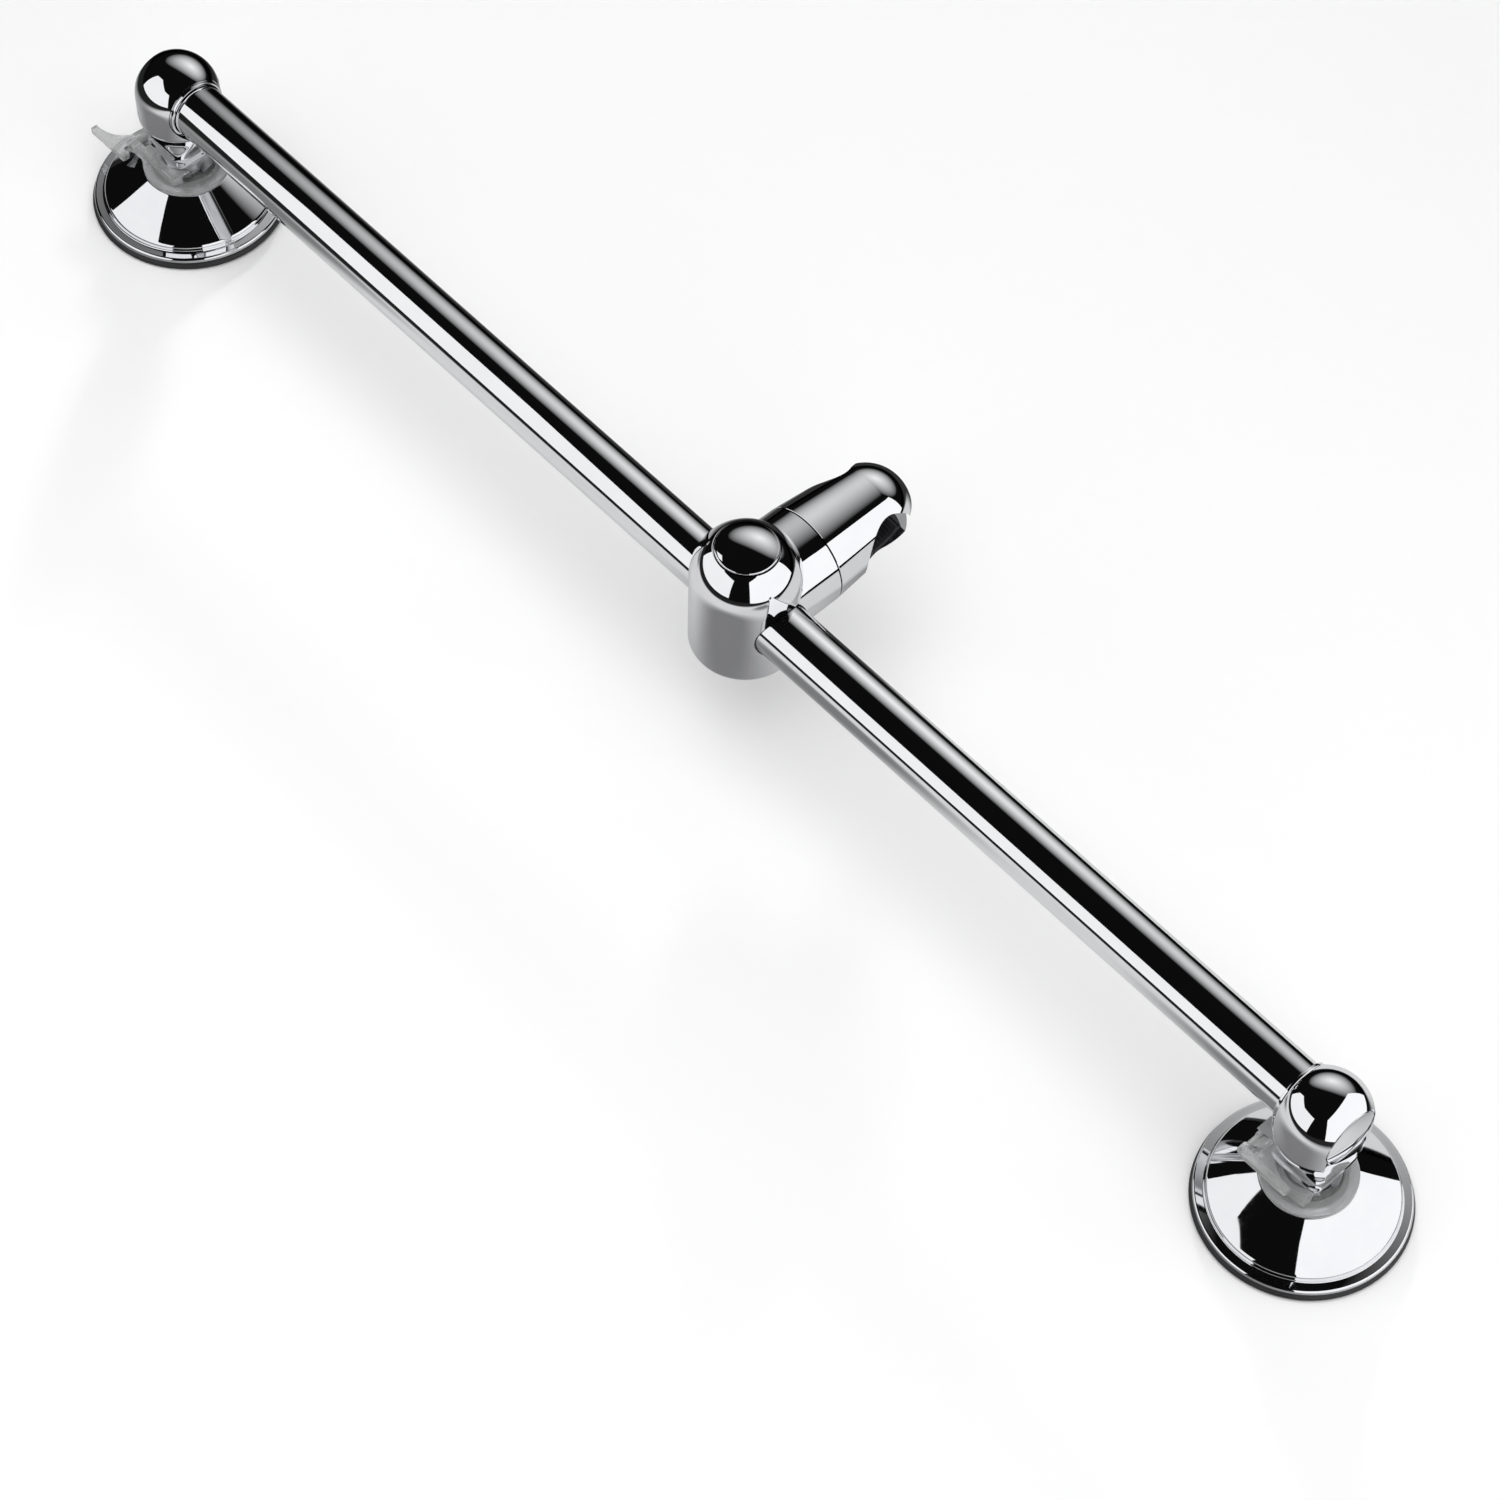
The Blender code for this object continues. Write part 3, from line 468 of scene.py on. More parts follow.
def ribTree():
    # slim rods set round the wall of a bore, leaving the slot free; laid along X and leaned
    inputs = {"Count": 40, "Radius": 0.0115, "Rib": 0.0005, "Length": 0.02, "Free": 0.006,
              "Lean": 0.3, "Middle": Vector()}
    tree, taken, given = nodeTree("boreRibs", inputs)
    around = node(tree, "GeometryNodeMeshCircle",
                  {"Vertices": taken.outputs["Count"], "Radius": taken.outputs["Radius"]})
    line = node(tree, "GeometryNodeCurvePrimitiveLine")
    halfLength = node(tree, "ShaderNodeMath", {0: taken.outputs["Length"], 1: 0.5}, operation="MULTIPLY")
    backward = node(tree, "ShaderNodeMath", {0: halfLength.outputs[0], 1: -1.0}, operation="MULTIPLY")
    low = node(tree, "ShaderNodeCombineXYZ", {"Z": backward.outputs[0]})
    high = node(tree, "ShaderNodeCombineXYZ", {"Z": halfLength.outputs[0]})
    tree.links.new(low.outputs[0], line.inputs["Start"])
    tree.links.new(high.outputs[0], line.inputs["End"])
    section = node(tree, "GeometryNodeCurvePrimitiveCircle",
                   {"Resolution": 10, "Radius": taken.outputs["Rib"]})
    rib = node(tree, "GeometryNodeCurveToMesh",
               {"Curve": line.outputs["Curve"], "Profile Curve": section.outputs["Curve"], "Fill Caps": True})
    place = node(tree, "GeometryNodeInputPosition")
    parts = node(tree, "ShaderNodeSeparateXYZ", {0: place.outputs["Position"]})
    across = node(tree, "ShaderNodeMath", {0: parts.outputs["X"]}, operation="ABSOLUTE")
    narrow = node(tree, "FunctionNodeCompare", {0: across.outputs[0], 1: taken.outputs["Free"]},
                  data_type="FLOAT", operation="LESS_THAN")
    front = node(tree, "FunctionNodeCompare", {0: parts.outputs["Y"], 1: 0.0},
                 data_type="FLOAT", operation="GREATER_THAN")
    inSlot = node(tree, "FunctionNodeBooleanMath", {0: narrow.outputs[0], 1: front.outputs[0]},
                  operation="AND")
    kept = node(tree, "GeometryNodeDeleteGeometry",
                {"Geometry": around.outputs["Mesh"], "Selection": inSlot.outputs[0]}, domain="POINT")
    ribs = node(tree, "GeometryNodeInstanceOnPoints",
                {"Points": kept.outputs["Geometry"], "Instance": rib.outputs["Mesh"]})
    laid = node(tree, "GeometryNodeTransform",
                {"Geometry": ribs.outputs["Instances"], "Rotation": (0, math.pi / 2, 0)})
    turn = node(tree, "ShaderNodeCombineXYZ", {"Y": taken.outputs["Lean"]})
    leaned = node(tree, "GeometryNodeTransform",
                  {"Geometry": laid.outputs["Geometry"], "Translation": taken.outputs["Middle"]})
    tree.links.new(turn.outputs[0], leaned.inputs["Rotation"])
    endTree(tree, taken, given, leaned.outputs["Geometry"])
    return tree


rail = {"radius": 11.0, "wall": 1.2, "edge": 0.15, "facets": 192}


def makeRail():
    low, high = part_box("rail_tube")
    values = {"Radius": rail["radius"] * mm, "Wall": rail["wall"] * mm, "Edge": rail["edge"] * mm,
              "Length": high.x - low.x, "Facets": rail["facets"], "Middle": railMiddle * mm}
    piece = grown("railTube", tubeTree(), values, materials["tubeChrome"])
    finished(piece, materials["tubeChrome"], "rail", ["rail_tube"])


makeRail()
print("rail made")


post = {
    "domeRadius": 16.6, "squareHalf": 11.3, "bottom": 32.0, "swellLow": 35.0, "swellHigh": 51.9,
    "squareness": 5.0, "squareFade": 2.5, "flat": 12.0, "rounding": 0.5, "around": 160, "levels": 36,
    "domeSteps": 30, "neckRadius": 9.5, "neckBottom": 23.1, "neckBore": 6.3, "neckBoreTop": 33.0,
    "groove": (23.3, 24.3), "grooveDepth": 0.8, "collarSeat": 12.7, "seatDepth": 8.2, "tubeSeat": 11.25,
    "tubeStop": 1.0, "throughBore": 9.3, "plugSeat": 11.95, "plugFloor": 10.6, "screwHole": 2.3,
    "screwSetback": 4.5, "clear": 24.0,
}


def postRow(bm, height, half, square):
    # a circle when square is 0, nearly a square when it is 1
    power = 2 + post["squareness"] * square ** post["squareFade"]
    row = []
    for i in range(post["around"]):
        angle = 2 * math.pi * (i + 0.5) / post["around"]
        c, s = math.cos(angle), math.sin(angle)
        reach = half * (abs(c) ** power + abs(s) ** power) ** (-1 / power)
        row.append(bm.verts.new((reach * c, reach * s, height)))
    return row


def postShape():
    bm = bmesh.new()
    bore, radius = post["neckBore"], post["neckRadius"]
    grooveRadius = radius - post["grooveDepth"]
    grooveLow, grooveHigh = post["groove"]
    neck = [(bore, post["neckBoreTop"]), (bore, post["neckBottom"]), (radius, post["neckBottom"]),
            (radius, grooveLow), (grooveRadius, grooveLow), (grooveRadius, grooveHigh),
            (radius, grooveHigh), (radius, post["bottom"])]
    rows = [postRow(bm, height, neckRadius, 0) for neckRadius, height in neck]
    bottom, top, rounding = post["bottom"], railMiddle.z, post["rounding"]
    for share in (0.0, 0.3, 0.6, 1.0):
        inset = rounding * (1 - math.sqrt(1 - (1 - share) ** 2))
        rows.append(postRow(bm, bottom + rounding * share, post["squareHalf"] - inset, 1))
    for step in range(1, post["levels"] + 1):
        height = bottom + rounding + (top - bottom - rounding) * step / post["levels"]
        share = (height - post["swellLow"]) / (post["swellHigh"] - post["swellLow"])
        share = min(max(share, 0), 1)
        swell = share * share * (3 - 2 * share)
        half = post["squareHalf"] + (post["domeRadius"] - post["squareHalf"]) * swell
        rows.append(postRow(bm, height, half, 1 - swell))
    for step in range(1, post["domeSteps"]):
        angle = math.radians(90 * step / post["domeSteps"])
        radius = post["domeRadius"] * math.cos(angle)
        rows.append(postRow(bm, top + post["domeRadius"] * math.sin(angle), radius, 0))
    for lower, upper in zip(rows, rows[1:]):
        for i in range(post["around"]):
            k = (i + 1) % post["around"]
            bm.faces.new((lower[i], lower[k], upper[k], upper[i]))
    bm.faces.new(list(reversed(rows[0])))
    pole = bm.verts.new((0, 0, top + post["domeRadius"]))
    for i in range(post["around"]):
        bm.faces.new((rows[-1][i], rows[-1][(i + 1) % post["around"]], pole))
    return bm


def makePost(side):
    at = (footX[side], railMiddle.y, 0)
    piece = newObject("post" + side.title(), postShape(), at)
    clear, collarSeat, seatDepth = post["clear"], post["collarSeat"], post["seatDepth"]
    tubeSeat, tubeStop, through = post["tubeSeat"], post["tubeStop"], post["throughBore"]
    plugSeat, plugFloor = post["plugSeat"], post["plugFloor"]
    bore = turned([(0, -clear), (collarSeat, -clear), (collarSeat, -seatDepth), (tubeSeat, -seatDepth),
                   (tubeSeat, tubeStop), (through, tubeStop), (through, plugFloor), (plugSeat, plugFloor),
                   (plugSeat, clear), (0, clear)], 128, "X")
    screwHole = rod(post["screwHole"], 9, clear, 48, "Y")
    if outward[side] < 0:
        rolled(bore, 180, "Z")
    moved(bore, 0, 0, railMiddle.z)
    moved(screwHole, -post["screwSetback"] * outward[side], 0, railMiddle.z)
    flatEnds = sorted((outward[side] * post["flat"], outward[side] * clear))
    flat = block(flatEnds, (-clear, clear), (20, 90))
    shaped(piece, at, cut=[bore, screwHole, flat])
    finished(piece, materials["castChrome"], "rail", ["post_" + side], 30)


plug = {"radius": 11.3, "crown": 38.6, "face": 13.3, "edge": 0.45, "floor": 10.9, "stem": 9.0, "stemEnd": 6.0}


def makePlug(side):
    # a slightly crowned disc in a shallow groove at the end of the rail
    at = (footX[side], railMiddle.y, railMiddle.z)
    radius, floorAt, stem, stemEnd = plug["radius"], plug["floor"], plug["stem"], plug["stemEnd"]
    crownEnd = math.degrees(math.acos((radius - plug["edge"]) / plug["crown"]))
    crown = arc((0, plug["face"] - plug["crown"]), plug["crown"], 90, crownEnd, 14)
    crown[0] = (0, crown[0][1])
    edgeTop = crown[-1][1]
    rim = [(radius - 0.15, edgeTop - 0.12), (radius, edgeTop - 0.45), (radius, floorAt)]
    shape = turned(crown + rim + [(stem, floorAt), (stem, stemEnd), (0, stemEnd)], 128, "X")
    if outward[side] < 0:
        rolled(shape, 180, "Z")
    piece = newObject("postPlug" + side.title(), shape, at)
    finished(piece, materials["castChrome"], "rail", ["post_plug_" + side])


collar = {"inner": 11.25, "outer": 12.4, "low": 8.5, "high": 12.4}


def makeCollar(side):
    # two narrow beads where the tube enters the post
    at = (footX[side], railMiddle.y, railMiddle.z)
    low, high, outer = collar["low"], collar["high"], collar["outer"]
    waist = (low + high) / 2 + 0.6
    corners = [(collar["inner"], low, 0), (outer, low, 0.2), (outer, waist - 0.35, 0.25),
               (outer - 0.3, waist, 0.1), (outer - 0.1, waist + 0.35, 0.2), (outer - 0.1, high, 0.35),
               (collar["inner"], high, 0.2)]
    shape = turned(softened(corners), 128, "X")
    if outward[side] > 0:
        rolled(shape, 180, "Z")
    piece = newObject("tubeCollar" + side.title(), shape, at)
    finished(piece, materials["castChrome"], "rail", ["tube_collar_" + side])


for side in ("far", "near"):
    makePost(side)
    makePlug(side)
    makeCollar(side)
print("posts made")


shell = {
    "rim": 38.3, "bottom": 3.2, "coneFoot": (33.4, 8.0), "coneTop": (17.4, 19.2), "hole": 14.1, "wall": 1.5,
    "facets": 192,
}


def makeShell(side):
    # rim, flat ring, step, cone and neck hole, then back down the inside
    footRadius, footHeight = shell["coneFoot"]
    topRadius, top = shell["coneTop"]
    rim, bottom, hole, wall = shell["rim"], shell["bottom"], shell["hole"], shell["wall"]
    corners = [
        (rim, bottom, 0.25),
        (rim, 4.5, 0.5),
        (rim - 0.7, 5.2, 0.3),
        (footRadius + 1.2, 5.25, 0.3),
        (footRadius + 0.8, 5.9, 0.35),
        (footRadius + 0.6, 7.3, 0.5),
        (footRadius, footHeight, 0.3),
        (topRadius, top, 0.35),
        (hole, top, 0.1),
        (hole, top - wall, 0),
        (topRadius - 0.6, top - wall, 0),
        (footRadius - 1.3, footHeight - 1.0, 0),
        (footRadius - 0.8, 3.8, 0),
        (rim - 1.4, 3.6, 0),
        (rim - 1.4, bottom, 0),
    ]
    piece = newObject("baseShell" + side.title(), turned(softened(corners), shell["facets"]),
                      (footX[side], railMiddle.y, 0))
    finished(piece, materials["shellChrome"], "foot_" + side, ["base_shell_" + side], 50)


cup = {"ring": 39.3, "hollow": 2.4, "middle": 2.5, "lift": {"far": 0.0, "near": 1.6}, "facets": 160}


def makeCup(side):
    # the middle of a held cup is drawn up
    low = cup["hollow"] + cup["lift"][side]
    high = low + cup["middle"]
    corners = [
        (0, low, 0), (9, low, 2), (26, 2.4, 2), (30, 1.2, 0.6), (31.5, 0, 0.3), (38.6, 0, 0.3),
        (cup["ring"], 1.4, 0.9), (38.3, 2.9, 0.4), (33, 2.9, 0.4), (31.2, 3.6, 0.4), (30.2, 4.9, 0.5),
        (27, 5.1, 1), (10.2, high, 1), (0, high, 0),
    ]
    piece = newObject("suctionCup" + side.title(), turned(softened(corners), cup["facets"]),
                      (footX[side], railMiddle.y, 0))
    finished(piece, materials["blackRubber"], "foot_" + side, ["suction_cup_" + side])


latch = {
    "half": 12.6, "front": 8.5, "top": 24.6, "hinge": (-19.5, 22.0), "collar": 17.4, "spigot": 13.7,
    "pocket": 11.9, "pinHole": 1.25, "cover": (24.9, 26.1), "coverHole": 9.8,
}


def makeLatch(side):
    # clear block: round collar, square walls, lugs for the pin, a pocket for the post's neck
    at = (footX[side], railMiddle.y, 0)
    half, hingeX, hingeZ = latch["half"], *latch["hinge"]
    spigot, collarRadius, pocketRadius = latch["spigot"], latch["collar"], latch["pocket"]
    corners = [(0, 13.6, 0), (spigot, 13.6, 0.3), (spigot, 19.5, 0), (collarRadius, 19.5, 0.3),
               (collarRadius, 21.4, 0.5), (0, 21.4, 0)]
    piece = newObject("latchBase" + side.title(), turned(softened(corners), 128), at)
    walls = block((hingeX, latch["front"]), (-half, half), (20.2, latch["top"]))
    lugs = moved(rod(2.8, -half, half, 48, "Y"), hingeX, 0, hingeZ)
    pocket = turned([(0, 10), (3.4, 10), (3.4, 19.6), (pocketRadius, 19.6), (pocketRadius, 30), (0, 30)])
    leverRoom = block((-26, -13.2), (-9.4, 9.4), (17.0, 30))
    webRoom = block((-14, -11), (-9.4, 9.4), (21.8, 30))
    armSlot = block((-14, -10.5), (-4.2, 4.2), (19.6, 30))
    pinHole = moved(rod(latch["pinHole"], -half - 2, half + 2, 32, "Y"), hingeX, 0, hingeZ)
    shaped(piece, at, add=[walls, lugs], cut=[pocket, leverRoom, webRoom, armSlot, pinHole])
    eased(piece, 0.3, 2)
    finished(piece, materials["clearPlastic"], "foot_" + side, ["latch_base_" + side])

    plate = prism(softened([(-half, -half, 1), (latch["front"], -half, 1), (latch["front"], half, 1),
                            (-half, half, 1)]), *latch["cover"])
    cover = newObject("latchCover" + side.title(), plate, at)
    shaped(cover, at, cut=[rod(latch["coverHole"], 20, 30, 96)])
    eased(cover, 0.2, 2)
    finished(cover, materials["clearPlastic"], "foot_" + side, ["latch_cover_" + side])


lever = {
    "tip": -22.0, "half": 16.3, "waist": 12.9, "notch": 13.4, "notchCentre": -20.5, "low": -6.8,
    "thickness": 2.4, "camRadius": 2.3, "camOffset": 0.8, "knuckle": 2.1, "webs": ((-9.1, -3.9), (3.9, 9.1)),
}


def makeLever(side):
    # flat wing with a round notch between two horns, on two webs and an eccentric barrel
    hingeX, hingeZ = latch["hinge"]
    at = (footX[side] + hingeX, railMiddle.y, hingeZ)
    tip, half, waist = lever["tip"], lever["half"], lever["waist"]
    edge = [(-5.0, waist, 0.3), (-1.0, waist, 0.4), (-1.0, half, 0.9), (tip, half, 0.7),
            (tip, lever["notch"], 0.5)]
    mirrored = [(x, -y, reach) for x, y, reach in reversed(edge)]
    notch = [(x, y, 0) for x, y in arc((lever["notchCentre"], 0), lever["notch"], 90, -90, 48)]
    low, high = lever["low"], lever["low"] + lever["thickness"]
    wing = prism(softened(edge + notch + mirrored), low, high)
    webTop, webFoot = high - 0.3, low + 0.3
    web = [(0.4, 1.7, 0.5), (-1.6, 1.2, 1), (-5.2, webTop, 0), (-7.8, webTop, 0), (-7.8, webFoot, 0),
           (-5.1, webFoot, 1), (0.4, -1.8, 0.5)]
    added = []
    for inner, outer in lever["webs"]:
        added.append(prism(softened(web), -outer, -inner, "Y"))
        added.append(rod(lever["knuckle"], inner + 0.05, outer - 0.05, 48, "Y"))
    added.append(moved(rod(lever["camRadius"], -4.2, 4.2, 48, "Y"), 0, 0, -lever["camOffset"]))
    cut = [rod(latch["pinHole"], -20, 20, 32, "Y")]
    if side == "near":
        for bm in [wing] + added + cut:
            rolled(bm, 180, "Y")
    piece = newObject("lever" + side.title(), wing, at)
    shaped(piece, at, add=added, cut=cut)
    eased(piece, 0.35, 3)
    finished(piece, materials["clearPlastic"], "lever_" + side, ["lever_" + side])


pull = {"stem": 2.6, "thread": 2.0, "pitch": 0.7, "shoulder": 19.6, "top": 25.2, "nut": 5.2}


def makePull(side):
    lift = cup["lift"][side]
    at = (footX[side], railMiddle.y, lift)
    shoulder, top, thread = pull["shoulder"], pull["top"], pull["thread"]
    profile = [(0, 5.2), (9, 5.2), (9, 6.7), (8.7, 7), (pull["stem"], 7), (pull["stem"], shoulder)]
    turns = int((top - shoulder - 0.4) / pull["pitch"])
    for turn in range(turns):
        height = shoulder + 0.2 + turn * pull["pitch"]
        profile += [(thread - 0.3, height), (thread, height + 0.35)]
    profile += [(thread - 0.4, top), (0, top)]
    stem = newObject("pullStem" + side.title(), turned(profile, 64), at)
    finished(stem, materials["hardwareSteel"], "pull_" + side, ["pull_stem_" + side])

    outline = [(pull["nut"] * math.cos(math.radians(60 * i)), pull["nut"] * math.sin(math.radians(60 * i)))
               for i in range(6)]
    nut = newObject("stemNut" + side.title(), prism(outline, shoulder + 1.8, shoulder + 4.6), at)
    shaped(nut, at, cut=[rod(thread + 0.1, 0, 40, 48)])
    eased(nut, 0.25, 2)
    finished(nut, materials["hardwareSteel"], "pull_" + side, ["stem_nut_" + side])

    corners = [(5, 19.9, 0.4), (5, 21.1, 0.4), (-13.6, 21.1, 0.3), (-13.6, 24.5, 0.5), (-22, 24.5, 0.2),
               (-22, 23.8, 0.2), (-14.6, 23.8, 0.3), (-14.6, 19.9, 0.4)]
    arm = newObject("liftArm" + side.title(), prism(softened(corners), -3.5, 3.5, "Y"), at)
    shaped(arm, at, cut=[rod(thread + 0.3, 0, 40, 48)])
    eased(arm, 0.15, 2, 60)
    finished(arm, materials["hardwareSteel"], "pull_" + side, ["lift_arm_" + side])


pin = {"radius": 1.0, "half": 12.4, "chamfer": 0.3}


def makePin(side):
    hingeX, hingeZ = latch["hinge"]
    radius, half, chamfer = pin["radius"], pin["half"], pin["chamfer"]
    corners = [(0, -half, 0), (radius, -half, chamfer), (radius, half, chamfer), (0, half, 0)]
    piece = newObject("leverPin" + side.title(), turned(softened(corners), 48, "Y"),
                      (footX[side] + hingeX, railMiddle.y, hingeZ))
    finished(piece, materials["hardwareSteel"], "foot_" + side, ["lever_pin_" + side])


springShape = springTree()
cupSpring = {"radius": 5.2, "wire": 0.5, "turns": 3.0, "top": 13.3, "foot": 7.3}


def makeCupSpring(side):
    foot = cupSpring["foot"] + cup["lift"][side]
    height = cupSpring["top"] - foot - 2 * cupSpring["wire"]
    values = {"Radius": cupSpring["radius"] * mm, "Wire": cupSpring["wire"] * mm, "Turns": cupSpring["turns"],
              "Height": height * mm,
              "Foot": Vector((footX[side], railMiddle.y, foot + cupSpring["wire"])) * mm}
    piece = grown("cupSpring" + side.title(), springShape, values, materials["hardwareSteel"])
    finished(piece, materials["hardwareSteel"], "foot_" + side, ["cup_spring_" + side], 60)
    if side == "far":
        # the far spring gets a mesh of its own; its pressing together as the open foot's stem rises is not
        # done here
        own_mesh(piece)


for side in ("far", "near"):
    makeShell(side)
    makeCup(side)
    makeLatch(side)
    makeLever(side)
    makePull(side)
    makePin(side)
    makeCupSpring(side)
print("feet made")


slider = {
    "radius": 20.6, "dome": 13.5, "floor": -24.5, "foot": 3.5, "well": 12.2, "armRadius": (20.3, 19.9),
    "split": 29.0, "bush": 12.9, "lip": 11.5, "lipAt": 16.1, "facets": 160,
}


def makeSlider():
    at = sliderMiddle
    radius, floor, foot = slider["radius"], slider["floor"], slider["foot"]
    rim = math.degrees(math.acos((slider["well"] + 0.35) / radius))
    lower = [(0, -21), (16, -21), (16, floor + 0.2), (16.2, floor)]
    corner = arc((radius - foot, floor + foot), foot, -90, 0, 12)
    dome = arc((0, slider["dome"]), radius, 0, rim, 36)
    lip = dome[-1][1]
    well = [(slider["well"] + 0.1, lip - 0.05), (slider["well"], lip - 0.4), (slider["well"], 25.8),
            (11.5, 25.8), (11.5, 23.4), (0, 23.4)]
    piece = newObject("sliderBody", turned(lower + corner + dome + well, slider["facets"]), at)
    armStart, armEnd = slider["armRadius"]
    arm = turned([(0, 2), (armStart, 2), (armEnd + 0.02, slider["split"] - 0.35),
                  (armEnd - 0.25, slider["split"]), (0, slider["split"])], slider["facets"], "Y")
    lipAt, bush, inner, split = slider["lipAt"], slider["bush"], slider["lip"], slider["split"]
    bore = turned([(0, -30), (inner, -30), (inner, -lipAt), (bush, -lipAt), (bush, lipAt), (inner, lipAt),
                   (inner, 30), (0, 30)], 128, "X")
    seat = turned([(0, 17), (2.9, 17), (2.9, split - 1.4), (15, split - 1.4), (15, split + 5),
                   (0, split + 5)], 96, "Y")
    loopRoom = block((-5.6, 5.6), (-14.7, 14.7), (-22, 20.9))
    shaped(piece, at, add=[arm], cut=[bore, loopRoom, rod(4, 19.9, 24.4, 64), seat])
    finished(piece, materials["castChrome"], "slider", ["slider_body"], 30)

    capCorners = [(0, -24.5, 0), (15.7, -24.5, 0.4), (15.7, -21.3, 0.3), (0, -21.3, 0)]
    cap = newObject("sliderBottomCap", turned(softened(capCorners), 96), at)
    finished(cap, materials["castChrome"], "slider", ["slider_bottom_cap"])


button = {"radius": 11.9, "crown": 20.6, "edge": 0.55}


def makeButton():
    at = sliderMiddle
    radius, crownRadius = button["radius"], button["crown"]
    edge = math.degrees(math.acos((radius - button["edge"]) / crownRadius))
    crown = arc((0, slider["dome"]), crownRadius, 90, edge, 24)
    crown[0] = (0, crown[0][1])
    edgeTop = crown[-1][1]
    rim = [(radius - 0.28, edgeTop - 0.1), (radius - 0.05, edgeTop - 0.4), (radius, edgeTop - 0.9)]
    inside = [(radius, 28.6), (11.2, 28.6), (11.2, 26.2), (9.6, 26.2), (9.6, 30.5), (3.6, 30.5),
              (3.6, 20.9), (0, 20.9)]
    piece = newObject("sliderButton", turned(crown + rim + inside, 128), at)
    finished(piece, materials["castChrome"], "button", ["slider_button"])


holder = {
    "start": 29.3, "startRadius": 19.9, "endCentre": 59.5, "endRadius": 17.2, "bore": 13.07, "boreY": 56.0,
    "lean": 9.0, "slot": 5.5, "edge": 0.2,
}


def leaned(bm):
    rolled(bm, holder["lean"], "Y")
    return moved(bm, 0, holder["boreY"], 0)


def makeHolder():
    at = sliderMiddle
    start, startRadius = holder["start"], holder["startRadius"]
    profile = [(0, start), (startRadius - 0.1, start), (startRadius, start + 0.12)]
    profile += arc((0, holder["endCentre"]), holder["endRadius"], 0, 90, 40)
    profile[-1] = (0, profile[-1][1])
    piece = newObject("holderArm", turned(profile, 160, "Y"), at)
    pivot = turned([(0, start - 2), (15, start - 2), (15, start + 1.6), (2.9, start + 1.6), (2.9, 36.9),
                    (5.3, 36.9), (5.3, holder["boreY"]), (0, holder["boreY"])], 96, "Y")
    bore = leaned(rod(holder["bore"], -40, 40, 160, "X"))
    slot = leaned(block((-40, 40), (0, 40), (-holder["slot"], holder["slot"])))
    shaped(piece, at, cut=[bore, slot, pivot])
    eased(piece, holder["edge"], 3, 35)
    finished(piece, materials["castChrome"], "holder", ["holder"], 30)


liner = {"outer": 12.77, "wall": 1.5, "half": 11.0, "slot": 5.8, "ribs": 44, "rib": 0.42, "ribLength": 19.0}


def makeLiner():
    at = sliderMiddle
    outer, half, wall = liner["outer"], liner["half"], liner["wall"]
    corners = [(outer - wall, -half, 0.4), (outer, -half, 0.3), (outer, half, 0.2), (outer - 0.9, half, 0.3)]
    piece = newObject("holderLiner", leaned(turned(softened(corners), 96, "X")), at)
    slot = leaned(block((-40, 40), (0, 40), (-liner["slot"], liner["slot"])))
    shaped(piece, at, cut=[slot])
    finished(piece, materials["blackPlastic"], "holder", ["holder_liner"])

    middlePoint = Vector((sliderMiddle.x, sliderMiddle.y + holder["boreY"], sliderMiddle.z)) * mm
    values = {"Count": liner["ribs"], "Radius": (outer - wall + 0.2) * mm, "Rib": liner["rib"] * mm,
              "Length": liner["ribLength"] * mm, "Free": (liner["slot"] + 0.6) * mm,
              "Lean": math.radians(holder["lean"]), "Middle": middlePoint}
    ribs = grown("linerRibs", ribTree(), values, materials["blackPlastic"])
    finished(ribs, materials["blackPlastic"], "holder", (), 60)


buttonSpring = {"radius": 6.4, "wire": 0.6, "turns": 4.0, "low": 23.7, "high": 30.2, "travel": 2.5}


def makeButtonSpring():
    wire = buttonSpring["wire"]
    foot = Vector((sliderMiddle.x, sliderMiddle.y, sliderMiddle.z + buttonSpring["low"] + wire)) * mm
    height = (buttonSpring["high"] - buttonSpring["low"] - 2 * wire) * mm
    values = {"Radius": buttonSpring["radius"] * mm, "Wire": wire * mm, "Turns": buttonSpring["turns"],
              "Height": height, "Foot": foot}
    piece = grown("buttonSpring", springShape, values, materials["hardwareSteel"])
    finished(piece, materials["hardwareSteel"], "slider", ["button_spring"], 60)
    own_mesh(piece)


makeSlider()
makeButton()
makeHolder()
makeLiner()
makeButtonSpring()
print("slider made")


kept = {
    "hardwareSteel": ("grub_screw_far", "grub_screw_near", "neck_clip_far", "neck_clip_near",
                      "latch_nut_far", "latch_nut_near", "pivot_screw"),
    "bearingPlastic": ("slider_bush_left", "slider_bush_right", "friction_ring"),
    "blackPlastic": ("grip_loop",),
    "blackRubber": ("grip_pad",),
}
for finish, names in kept.items():
    for name in names:
        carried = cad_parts[name]
        carried.data.materials.clear()
        carried.data.materials.append(materials[finish])
print("frame parts painted")


view = {
    "place": (0.65839, -0.64081, 1.29574), "target": (0.071475, -0.061673, 0.0609), "lens": 101.54,
    "roll": 2.218,
}


def makeCamera():
    camera = bpy.data.objects.new("camera", bpy.data.cameras.new("camera"))
    bpy.context.scene.collection.objects.link(camera)
    camera.data.lens = view["lens"]
    camera.data.sensor_width = 36
    camera.data.clip_start = 0.05
    camera.location = view["place"]
    sight = Vector(view["target"]) - Vector(view["place"])
    level = sight.to_track_quat("-Z", "Y").to_matrix().to_4x4()
    turn = level @ Matrix.Rotation(math.radians(view["roll"]), 4, "Z")
    camera.rotation_euler = turn.to_euler()
    bpy.context.scene.camera = camera


